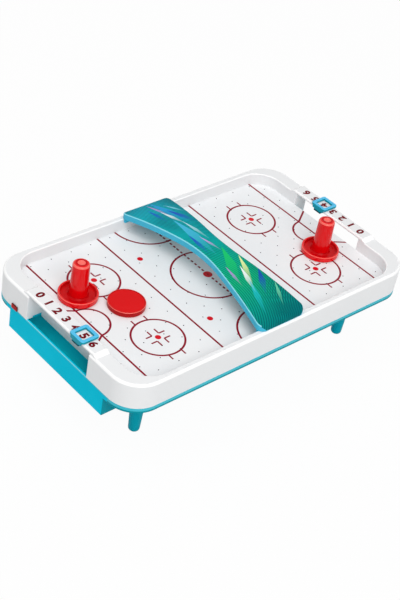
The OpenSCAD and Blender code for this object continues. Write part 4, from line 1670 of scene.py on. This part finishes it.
@dataclass
class Bridge:
    """Arched cross piece with a printed top."""

    crown: float = 134.8
    drop: float = 16.0
    end: float = 123.0
    end_round: float = 8.0
    waist: float = 17.7
    waist_radius: float = 203.0
    waist_run: float = 33.0
    corner: float = 8.5
    skirt: float = 8.3
    wall: float = 2.2
    edge: float = 1.5
    lip: float = 0.3
    seat_gap: float = 0.1
    tab_half: float = 32.7
    tab_wall: float = 2.4
    tab_drop: float = 4.5
    tab_gap: float = 0.3

    @property
    def arch(self) -> float:
        """Radius of the long arch."""
        return (self.end**2 + self.drop**2) / (2 * self.drop)

    def level(self, y: float, below: float = 0.0) -> float:
        """Height of the arch, or of one below it, at a place across the table."""
        return self.crown - self.arch + math.sqrt((self.arch - below) ** 2 - y * y)

    def top(self, y: float, below: float = 0.0) -> float:
        """Height of the top, or of a face below it, which turns down at both ends.

        Args:
            y: place across the width.
            below: depth below the top.

        Returns:
            The height.
        """
        y, reach = abs(y), self.end - self.end_round
        if y <= reach * (self.arch - below) / (self.arch - self.end_round):
            return self.level(y, below)
        middle = self.crown - self.arch + math.sqrt((self.arch - self.end_round) ** 2 - reach**2)
        return middle + math.sqrt(max(0.0, (self.end_round - below) ** 2 - (y - reach) ** 2))

    def half_width(self, y: float) -> float:
        """Half width of the plan at a place across the table.

        Args:
            y: place across the width.

        Returns:
            The half width.
        """
        y = abs(y)
        if y <= self.waist_run:
            return self.waist + self.waist_radius - math.sqrt(self.waist_radius**2 - y * y)
        turn = math.asin(self.waist_run / self.waist_radius)
        return self.half_width(self.waist_run) + (y - self.waist_run) * math.tan(turn)

    def quarter_plan(self) -> list[Flat]:
        """Plan from the waist on the right round to the middle of the far end.

        Returns:
            The points.
        """
        side = [(self.half_width(y), y) for y in [self.waist_run * k / 6 for k in range(7)]]
        far = [self.waist_run + (self.end - self.corner * 1.3 - self.waist_run) * k / 12 for k in range(1, 13)]
        side += [(self.half_width(y), y) for y in far]
        corner = [(*side[-1], 0.0), (self.half_width(self.end), self.end, self.corner), (0.0, self.end, 0.0)]
        bend = fillet(corner, closed=False, steps=12)[1:-1]
        end_x = bend[-1][0]
        return side + bend + [(end_x * (1 - k / 5), self.end) for k in range(1, 6)]

    def plan(self) -> list[Flat]:
        """Whole plan, counter-clockwise from the middle of the near end.

        Returns:
            The points.
        """
        part = self.quarter_plan()
        right = [(x, -y) for x, y in reversed(part)] + part[1:]
        left = [(-x, y) for x, y in reversed(right)][1:-1]
        return right + left

    def sheet(self, shell: Shell, ring: Sequence[int], mark: int) -> None:
        """Closes a ring of the plan with strips across the bridge.

        Args:
            shell: the shell that holds the ring.
            ring: numbers of its points.
            mark: finish number of the strips.
        """
        count = len(ring)
        half = count // 2
        flat_end = 5
        near = [ring[-i] for i in range(flat_end, 0, -1)] + [ring[i] for i in range(flat_end + 1)]
        shell.face(near + [ring[flat_end + 1], ring[-(flat_end + 1)]], mark)
        for i in range(flat_end + 1, half - flat_end - 1):
            shell.face((ring[i], ring[i + 1], ring[-(i + 1)], ring[-i]), mark)
        k = half - flat_end - 1
        far = [ring[i] for i in range(k, count - k + 1)]
        shell.face(far, mark)

    def build(self, finishes: Finishes) -> Piece:
        """Builds the bridge and returns it.

        Args:
            finishes: the table's materials.

        Returns:
            The piece.
        """
        shell = Shell()
        plan = self.plan()
        foot = TABLE.rim + self.seat_gap
        ends = [abs(b[1] - a[1]) for a, b in zip(plan, inset(plan, 1.0))]

        def row(offset: float, height: Callable[[float, float], float]) -> list[int]:
            """Adds one ring of the plan, moved inward, at a height that follows the arch."""
            return shell.ring((x, y, height(y, e)) for (x, y), e in zip(inset(plan, offset), ends))

        def low(y: float, rise: float = 0.0) -> float:
            """Lower edge of the skirt."""
            return max(self.level(y, self.skirt), foot) + rise

        def upper(offset: float) -> Callable[[float, float], float]:
            """Height of the top near its edge, rounded along the sides.

            Args:
                offset: distance inward from the edge.

            Returns:
                A rule for the height.
            """
            reach = max(0.0, self.edge - offset)
            fall = self.edge - math.sqrt(self.edge**2 - reach**2)
            return lambda y, e: max(self.top(y) - fall * (1.0 - e * e), low(y, self.lip + 0.1))

        def inside(y: float, e: float) -> float:
            """Height of the inner face."""
            return max(self.top(y, self.wall), low(y, self.lip + 0.1))

        hollow = [row(self.wall + i, inside) for i in (4.0, 2.6, 1.3, 0.5, 0.0)]
        rings = hollow + [row(self.wall, lambda y, e: low(y, self.lip)), row(self.wall - self.lip, lambda y, e: low(y))]
        rings += [row(self.lip, lambda y, e: low(y)), row(0.0, lambda y, e: low(y, self.lip))]
        for i, (a, b) in enumerate(zip(rings, rings[1:])):
            shell.skin(a, b, mark=BridgeCoat.INSIDE if i < len(hollow) else BridgeCoat.SKIRT)
        last = rings[-1]
        for offset in (0.0, 0.1, 0.35, 0.75, 1.15, 1.5, 2.2, 3.0):
            ring = row(offset, upper(offset))
            for i in range(len(ring)):
                k = (i + 1) % len(ring)
                printed = offset > 0.9 or (offset > 0.0 and min(ends[i], ends[k]) > 0.6)
                # The unprinted ring along the edge takes a painted highlight, lighter than the skirt.
                bare = BridgeCoat.EDGE if 0.05 < offset < 1.2 else BridgeCoat.SKIRT
                shell.face((last[i], last[k], ring[k], ring[i]), BridgeCoat.FILM if printed else bare)
            last = ring
        self.sheet(shell, hollow[0], BridgeCoat.INSIDE)
        self.sheet(shell, last, BridgeCoat.FILM)
        inner = TABLE.field_half_width - self.tab_gap
        for sy in (-1, 1):
            outline = round_box((-self.tab_half, TABLE.rim - self.tab_drop), (self.tab_half, foot + 6.6), 0.8, 3)
            shell.prism(
                outline, inner - self.tab_wall, inner, lambda u, v, w, sy=sy: (u, sy * w, v),
                soft_low=0.3, soft_high=0.3,
                steps=2,
            )
        coats = [finishes.skirt, finishes.bridge_top, finishes.teal_edge, finishes.skirt_inside]
        made = shell.piece("bridge_arch", coats)
        return seat(made, "bridge", "bridge_print", "bridge")


@dataclass
class ScoreSlider:
    """Square ring that clips on a score rail."""

    side: Side
    y: float
    width: float = 23.0
    window: float = 14.8
    thick: float = 3.0
    leg: float = 2.0
    slip: float = 0.3
    corner: float = 3.0
    hook_width: float = 11.0
    hook_thick: float = 2.4
    hook_in: float = 2.0
    rail_thick: float = 3.0

    def build(self, finishes: Finishes) -> Piece:
        """Builds the slider and returns it.

        Args:
            finishes: the table's materials.

        Returns:
            The piece.
        """
        t = TABLE
        shell = Shell()
        inner = t.rail_width / 2 + self.slip
        outer, half = inner + self.leg, self.width / 2
        base = t.rail + self.slip
        cx = self.side.value * t.rail_middle

        def level(u: float, v: float, w: float) -> Spot:
            """Place on the rail, height last."""
            return (cx + u, self.y + v, w)

        def upright(u: float, v: float, w: float) -> Spot:
            """Place on the rail, across the width last."""
            return (cx + u, self.y + w, v)

        hole = self.window / 2
        shell.prism(
            round_box((-outer, -half), (outer, half), self.corner), base, base + self.thick, level, 0.3, 0.8,
            hole=round_box((-hole, -hole), (hole, hole), 0.9), steps=4,
        )
        hook_top = t.rail - self.rail_thick - self.slip
        for s in (-1, 1):
            a, b = sorted((s * inner, s * outer))
            c, d = sorted((s * (inner - self.hook_in), s * outer))
            shell.prism(
                round_box((a, t.rim + 2 * self.slip), (b, base + 0.4), 0.2, 2), self.corner - half, half - self.corner,
                upright, 0.3, 0.3,
            )
            grip = self.hook_width / 2
            shell.prism(
                round_box((a, hook_top - self.hook_thick), (b, t.rim + 2 * self.slip + 0.5), 0.2, 2),
                -grip, grip, upright,
                0.3, 0.3,
            )
            shell.prism(
                round_box((c, hook_top - self.hook_thick), (d, hook_top), 0.4, 2), -grip, grip, upright, 0.3, 0.3
            )
        name = self.side.name.lower()
        made = shell.piece(f"score_ring_{name}", [finishes.slider, finishes.slider_side])
        # Faces that do not look up take the painted shade.
        paint(made, lambda at, way: int(way.z < 0.2))
        return seat(made, f"slider_{name}", "slider_blue", f"score_slider_{name}")


@dataclass
class ScoreNumbers:
    """Printed numbers 0 to 6 on one score rail."""

    side: Side
    step: float = 15.6
    height: float = 10.8
    ink: float = 0.05
    bold: float = 0.05
    stretch: float = 1.08

    def digit(self, value: int) -> bpy.types.Mesh:
        """Makes the outline of one number, one unit tall and centred.

        Args:
            value: the number.

        Returns:
            The mesh.
        """
        curve = bpy.data.curves.new("score_number", "FONT")
        curve.body = str(value)
        curve.offset = self.bold
        curve.resolution_u = 6
        holder = bpy.data.objects.new("score_number", curve)
        bpy.context.scene.collection.objects.link(holder)
        bpy.context.view_layer.update()
        mesh = bpy.data.meshes.new_from_object(holder.evaluated_get(bpy.context.evaluated_depsgraph_get()))
        bpy.data.objects.remove(holder)
        bpy.data.curves.remove(curve)
        xs, ys = [v.co.x for v in mesh.vertices], [v.co.y for v in mesh.vertices]
        tall = max(ys) - min(ys)
        shift = Matrix.Translation((-(max(xs) + min(xs)) / 2, -(max(ys) + min(ys)) / 2, 0.0))
        mesh.transform(Matrix.Diagonal((self.stretch / tall, 1 / tall, 1.0, 1.0)) @ shift)
        return mesh

    def build(self, finishes: Finishes) -> Piece:
        """Builds all numbers of the rail as one thin piece and returns it.

        Args:
            finishes: the table's materials.

        Returns:
            The piece.
        """
        s = self.side.value
        work = bmesh.new()
        for value in range(7):
            mesh = self.digit(value)
            size = self.height * MM
            y = s * (value - 3) * self.step * MM
            turn = Matrix(((0, -s, 0, 0), (s, 0, 0, 0), (0, 0, 1, 0), (0, 0, 0, 1)))
            place = Matrix.Translation((s * TABLE.rail_middle * MM, y, (TABLE.rail + 0.01) * MM))
            mesh.transform(place @ turn @ Matrix.Diagonal((size, size, 1.0, 1.0)))
            work.from_mesh(mesh)
            bpy.data.meshes.remove(mesh)
        bmesh.ops.remove_doubles(work, verts=work.verts, dist=1e-6)
        grown = bmesh.ops.extrude_face_region(work, geom=list(work.faces))
        lifted = [g for g in grown["geom"] if isinstance(g, bmesh.types.BMVert)]
        bmesh.ops.translate(work, verts=lifted, vec=(0.0, 0.0, self.ink * MM))
        name = f"score_numbers_{self.side.name.lower()}"
        mesh = bpy.data.meshes.new(name)
        work.to_mesh(mesh)
        work.free()
        made = dressed(name, mesh, [finishes.ink])
        return seat(made, "table", "white_plastic")


@dataclass
class Pusher:
    """Hand pusher: dished base, tapered hollow knob and felt ring."""

    side: Side
    x: float
    y: float
    radius: float = 22.7
    height: float = 46.0
    base: float = 6.4
    rim: float = 2.2
    dish: float = 2.4
    knob_foot: float = 10.5
    knob_top: float = 9.7
    knob_round: float = 3.2
    hollow: float = 5.4
    dimple: float = 1.1
    dimple_rim: float = 4.4
    pad: float = 1.2
    pad_proud: float = 0.4
    pad_in: float = 1.5
    pad_width: float = 10.0
    seat_gap: float = 0.1
    film: float = 0.2

    def profile(self) -> list[Flat]:
        """Turned section from the hollow's roof round to the dimple.

        Returns:
            The points of the section.
        """
        z = TABLE.play + self.film + self.pad_proud
        out = self.radius - self.pad_in + self.seat_gap
        inn = self.radius - self.pad_in - self.pad_width - self.seat_gap
        groove = self.pad - self.pad_proud
        corners = [
            (0.0, self.height - 6.0, 0.0), (self.hollow, self.height - 6.0, 0.6), (self.hollow, 0.0, 0.3),
            (inn, 0.0, 0.2), (inn, groove, 0.1), (out, groove, 0.1), (out, 0.0, 0.2),
            (self.radius, 0.0, 0.6), (self.radius, self.base, 1.0), (self.radius - self.rim, self.base, 0.8),
            (self.radius - self.rim - 1.6, self.dish, 1.4), (self.knob_foot + 1.6, self.dish, 1.2),
            (self.knob_foot, self.dish + 2.0, 2.0), (self.knob_top, self.height, self.knob_round),
            (self.dimple_rim, self.height, 0.8),
            (2.6, self.height - self.dimple, 1.2), (0.0, self.height - self.dimple, 0.0),
        ]
        return [(r, h + z) for r, h in fillet(corners, closed=False, steps=6)]

    def build(self, finishes: Finishes) -> None:
        """Builds the pusher and its pad.

        Args:
            finishes: the table's materials.
        """
        name = self.side.name.lower()
        shell = Shell()
        shell.lathe(self.profile(), self.x, self.y, 96)
        made = shell.piece(f"hand_pusher_{name}", [finishes.red, finishes.red_dish, finishes.red_edge])
        foot = TABLE.play + self.film + self.pad_proud

        def finish(at: Vector, way: Vector) -> int:
            """Picks a grained red, darker as painted shade, in the dish and on the knob's top, and a painted highlight
            on the dimple and the upper rounds.

            Args:
                at: middle of the face, in millimetres.
                way: direction of the face.

            Returns:
                The finish number.
            """
            reach, rise = math.hypot(at.x - self.x, at.y - self.y), at.z - foot
            if self.dish - 0.3 < rise < self.base - 0.5 and self.knob_foot < reach < self.radius - self.rim:
                return PusherCoat.GRAINED
            if rise > self.height - self.dimple - 0.1 and reach < self.knob_top - self.knob_round:
                return PusherCoat.BRIGHT if reach < self.dimple_rim else PusherCoat.GRAINED
            on_top = rise > self.height - self.knob_round and reach > self.knob_top - self.knob_round
            on_rim = abs(rise - self.base) < 1.0 and reach > self.radius - 1.0
            return PusherCoat.BRIGHT if (on_top or on_rim) and 0.2 < way.z < 0.85 else PusherCoat.PLAIN

        paint(made, finish)
        seat(made, f"pusher_{name}", "red_plastic", f"pusher_{name}")
        low, outer = TABLE.play + self.film, self.radius - self.pad_in
        inner = outer - self.pad_width
        ring = fillet(
            [(inner, low, 0.2), (outer, low, 0.3), (outer, low + self.pad, 0.1), (inner, low + self.pad, 0.1)],
            steps=2,
        )
        shell = Shell()
        shell.lathe(ring, self.x, self.y, 96, closed=True)
        seat(shell.piece(f"felt_ring_{name}", [finishes.felt]), f"pusher_{name}", "felt", f"pusher_pad_{name}")


@dataclass
class Puck:
    """Flat disc with a raised edge."""

    x: float = -117.0
    y: float = 3.0
    radius: float = 21.6
    thick: float = 6.4
    lip: float = 1.8
    recess: float = 0.5
    film: float = 0.3

    def build(self, finishes: Finishes) -> Piece:
        """Builds the puck and returns it.

        Args:
            finishes: the table's materials.

        Returns:
            The piece.
        """
        low = TABLE.play + self.film
        inner = self.radius - self.lip
        corners = [
            (0.0, self.recess, 0.0), (inner, self.recess, 0.3), (inner, 0.0, 0.3), (self.radius, 0.0, 1.0),
            (self.radius, self.thick, 1.0), (inner, self.thick, 0.3), (inner, self.thick - self.recess, 0.3),
            (0.0, self.thick - self.recess, 0.0),
        ]
        shell = Shell()
        shell.lathe([(r, h + low) for r, h in fillet(corners, closed=False, steps=4)], self.x, self.y, 96)
        made = shell.piece("red_puck", [finishes.red_top, finishes.red_edge, finishes.red_step])

        def finish(at: Vector, way: Vector) -> int:
            """Picks a painted highlight on the outer round, and a deeper red as painted shade on the side and on the
            step inside the lip.

            Args:
                at: middle of the face, in millimetres.
                way: direction of the face.

            Returns:
                The finish number.
            """
            reach = math.hypot(at.x - self.x, at.y - self.y)
            if reach > self.radius - 1.0:
                return PuckCoat.BRIGHT if 0.3 < abs(way.z) < 0.9 else PuckCoat.DEEP
            return PuckCoat.DEEP if reach > inner - 0.5 and abs(way.z) < 0.97 else PuckCoat.FACE

        paint(made, finish)
        return seat(made, "puck", "red_plastic", "puck")


@dataclass
class PowerSwitch:
    """Red cap with grip ridges on the left end wall."""

    y: float = 75.0
    cap: Spot = (1.8, 10.4, 5.6)
    slip: float = 0.3
    stem: Spot = (8.2, 4.0, 2.2)
    travel: float = 3.0
    ridges: int = 4

    def build(self, finishes: Finishes) -> Piece:
        """Builds the cap and its stem and returns them as one piece.

        Args:
            finishes: the table's materials.

        Returns:
            The piece.
        """
        t = TABLE
        shell = Shell()
        face = -t.half_length - self.slip
        depth, wide, tall = self.cap
        foot = t.wall_foot + self.slip
        shell.prism(
            round_box((-wide / 2, foot), (wide / 2, foot + tall), 0.8, 3), 0.0, depth - 0.4,
            lambda u, v, w: (face - w, self.y + u, v), 0.1, 0.5,
        )
        for k in range(self.ridges):
            at = (k - (self.ridges - 1) / 2) * 2.0
            shell.prism(
                round_box((at - 0.45, foot + 0.9), (at + 0.45, foot + tall - 0.9), 0.4, 3), depth - 0.7, depth,
                lambda u, v, w: (face - w, self.y + u, v), 0.0, 0.3, steps=2,
            )
        low, back = t.apron + 0.4, self.y - self.travel / 2
        shell.prism(
            round_box((-self.stem[1] / 2, low), (self.stem[1] / 2, low + self.stem[2]), 0.2, 2), -0.3, self.stem[0],
            lambda u, v, w: (face + w, back + u, v), 0.0, 0.2, steps=2,
        )
        made = shell.piece("switch_cap", [finishes.red_cap, finishes.red_dark])
        # Faces that do not look outward take the painted shade.
        paint(made, lambda at, way: int(way.x > -0.8))
        return seat(made, "switch", "red_plastic", "switch_knob")


@dataclass
class Works:
    """Fan, cells, contacts, leads and screws, most of them out of sight."""

    bay_x: float = 105.0
    pitch: float = 14.8
    cell_radius: float = 7.1
    cell_length: float = 50.5
    button: Flat = (2.7, 1.4)
    cell_level: float = 83.0

    def cells(self, finishes: Finishes) -> None:
        """Builds the four cells with their sleeves, shoulders and buttons.

        Args:
            finishes: the table's materials.
        """
        shell = Shell()
        half, r = self.cell_length / 2, self.cell_radius
        b, rise = self.button
        ends = [(0.0, -half, 0.0), (r - 0.9, -half, 0.2), (r - 0.9, -half + 0.5, 0.0)]
        sleeve = [
            (r - 0.9, -half + 0.5, 0.0), (r, -half + 0.5, 0.4), (r, half - rise - 0.1, 0.7),
            (b + 2.4, half - rise - 0.1, 0.0),
        ]
        tip = [(b + 2.4, half - rise - 0.1, 0.0), (b, half - rise - 0.1, 0.2), (b, half, 0.4), (0.0, half, 0.0)]
        for i in range(4):
            y = (i - 1.5) * self.pitch
            turn = -1 if i % 2 else 1
            for corners, mark in ((ends, 1), (sleeve, 0), (tip, 1)):
                shell.revolve(
                    fillet(corners, closed=False, steps=3),
                    lambda q, h, c, s, y=y, turn=turn: (self.bay_x + turn * h, y + q * c, self.cell_level + q * s),
                    48, mark,
                )
        made = shell.piece("cells", [finishes.wrap, finishes.steel])
        work = bmesh.new()
        work.from_mesh(made.data)
        bmesh.ops.remove_doubles(work, verts=work.verts, dist=1e-7)
        bmesh.ops.recalc_face_normals(work, faces=work.faces)
        work.to_mesh(made.data)
        work.free()
        seat(made, "table", "cell_wrap", "batteries")

    def build(self, finishes: Finishes) -> None:
        """Builds the cells and dresses the solids that stay.

        Args:
            finishes: the table's materials.
        """
        self.cells(finishes)
        kept = {
            "motor": finishes.steel, "motor_shaft": finishes.steel, "impeller": finishes.pale,
            "battery_contacts": finishes.nickel, "wiring": finishes.lead, "switch_body": finishes.dark,
            "case_screws": finishes.steel, "fan_screws": finishes.steel, "door_screw": finishes.steel,
        }
        for node, finish in kept.items():
            mesh = frame["nodes"][node].data
            mesh.materials.clear()
            mesh.materials.append(finish)
            log.info("%s keeps its solid", node)


# Stage


@dataclass(frozen=True)
class Camera:
    """Camera at the photograph's angle, in metres and degrees."""

    place: Spot = (-0.88192, -0.80630, 0.98400)
    azimuth: float = -47.410
    elevation: float = 37.779
    roll: float = 10.749
    lens: float = 78.08

    def build(self) -> None:
        """Makes the camera and hands it to the scene."""
        az, el, roll = (math.radians(a) for a in (self.azimuth, self.elevation, self.roll))
        back = Vector((math.sin(az) * math.cos(el), -math.cos(az) * math.cos(el), math.sin(el)))
        right = (-back).cross(Vector((0, 0, 1))).normalized()
        up = right.cross(-back)
        across = right * math.cos(roll) + up * math.sin(roll)
        upward = up * math.cos(roll) - right * math.sin(roll)
        lens = bpy.data.cameras.new("camera")
        lens.lens, lens.sensor_width, lens.sensor_fit = self.lens, 36.0, "AUTO"
        lens.clip_start, lens.clip_end = 0.05, 30.0
        holder = bpy.data.objects.new("camera", lens)
        bpy.context.scene.collection.objects.link(holder)
        holder.matrix_world = Matrix.Translation(self.place) @ Matrix((across, upward, back)).transposed().to_4x4()
        bpy.context.scene.camera = holder


@dataclass(frozen=True)
class Lamp:
    """One soft light, in metres and watts."""

    name: str
    place: Spot
    size: float
    power: float
    aim: Spot = (0.0, 0.0, 0.09)

    def build(self) -> None:
        """Makes the lamp, turned to its aim."""
        light = bpy.data.lights.new(self.name, "AREA")
        light.shape, light.size, light.energy = "DISK", self.size, self.power
        holder = bpy.data.objects.new(self.name, light)
        bpy.context.scene.collection.objects.link(holder)
        holder.location = self.place
        holder.rotation_euler = (Vector(self.aim) - Vector(self.place)).to_track_quat("-Z", "Y").to_euler()


@dataclass
class Stage:
    """Pale floor, even sky and soft lamps."""

    reach: float = 12.0
    sky: float = 0.46
    floor_light: float = 0.96
    lamps: tuple[Lamp, ...] = (
        Lamp("key_lamp", (-1.38, -2.84, 2.98), 3.2, 88.5),
        Lamp("top_lamp", (-0.5, 0.1, 2.3), 1.8, 14.5),
    )

    @staticmethod
    def seen(t: Tree) -> Socket:
        """Is 1 where the camera, a gloss or a clear piece sees a surface."""
        path = t.node("ShaderNodeLightPath")
        return t.most(*(path.outputs[f"Is {ray} Ray"] for ray in ("Camera", "Glossy", "Transmission")))

    def floor(self) -> None:
        """Lays the floor, which shows white to the camera but keeps the table's shadow."""
        r = self.reach
        mesh = bpy.data.meshes.new("floor")
        mesh.from_pydata([(-r, -r, 0), (r, -r, 0), (r, r, 0), (-r, r, 0)], [], [(0, 1, 2, 3)])
        thing = bpy.data.objects.new("floor", mesh)
        bpy.context.scene.collection.objects.link(thing)
        made = bpy.data.materials.new("pale_floor")
        made.use_nodes = True
        t = Tree(made.node_tree)
        made.node_tree.nodes.remove(made.node_tree.nodes["Principled BSDF"])
        matt = t.node("ShaderNodeBsdfDiffuse")
        matt.inputs["Color"].default_value = linear("e6e6e6")
        glow = t.node("ShaderNodeEmission")
        seen = self.seen(t)
        mix = t.node("ShaderNodeMixShader")
        t.feed(mix.inputs[0], t.math("MULTIPLY", seen, self.floor_light))
        t.feed(mix.inputs[1], matt.outputs[0])
        t.feed(mix.inputs[2], glow.outputs[0])
        out = next(n for n in made.node_tree.nodes if n.type == "OUTPUT_MATERIAL")
        t.feed(out.inputs["Surface"], mix.outputs[0])
        mesh.materials.append(made)

    def world(self) -> None:
        """Lights the scene evenly from all sides, and shows white behind it."""
        world = bpy.data.worlds.new("studio")
        world.use_nodes = True
        bpy.context.scene.world = world
        t = Tree(world.node_tree)
        sky = world.node_tree.nodes["Background"]
        sky.inputs["Color"].default_value = (1.0, 1.0, 1.0, 1.0)
        seen = self.seen(t)
        t.feed(sky.inputs["Strength"], t.math("MULTIPLY_ADD", seen, 1.0 - self.sky, self.sky))

    def build(self) -> None:
        """Sets the floor, sky, lamps and plain colour handling."""
        self.floor()
        self.world()
        for lamp in self.lamps:
            lamp.build()
        bpy.context.scene.view_settings.view_transform = "Standard"


def clear_start_scene() -> None:
    """Removes what a new Blender file holds besides the frame."""
    kept = set(frame["nodes"].values()) | set(frame["bodies"].values())
    for thing in list(bpy.context.scene.objects):
        if thing not in kept:
            bpy.data.objects.remove(thing)


def main() -> None:
    """Builds the whole scene."""
    logging.basicConfig(level=logging.INFO, format="%(name)s: %(message)s")
    clear_start_scene()
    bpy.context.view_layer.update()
    Camera().build()
    Stage().build()
    finishes = Finishes()
    RimFrame().build(finishes)
    PlayBoard().build(finishes)
    BasePan().build(finishes)
    Bridge().build(finishes)
    for side in Side:
        ScoreSlider(side, SLIDER_Y[side]).build(finishes)
        ScoreNumbers(side).build(finishes)
    for side in Side:
        Pusher(side, *PUSHER_XY[side]).build(finishes)
    Puck().build(finishes)
    PowerSwitch().build(finishes)
    Works().build(finishes)


if __name__ == "__main__":
    main()
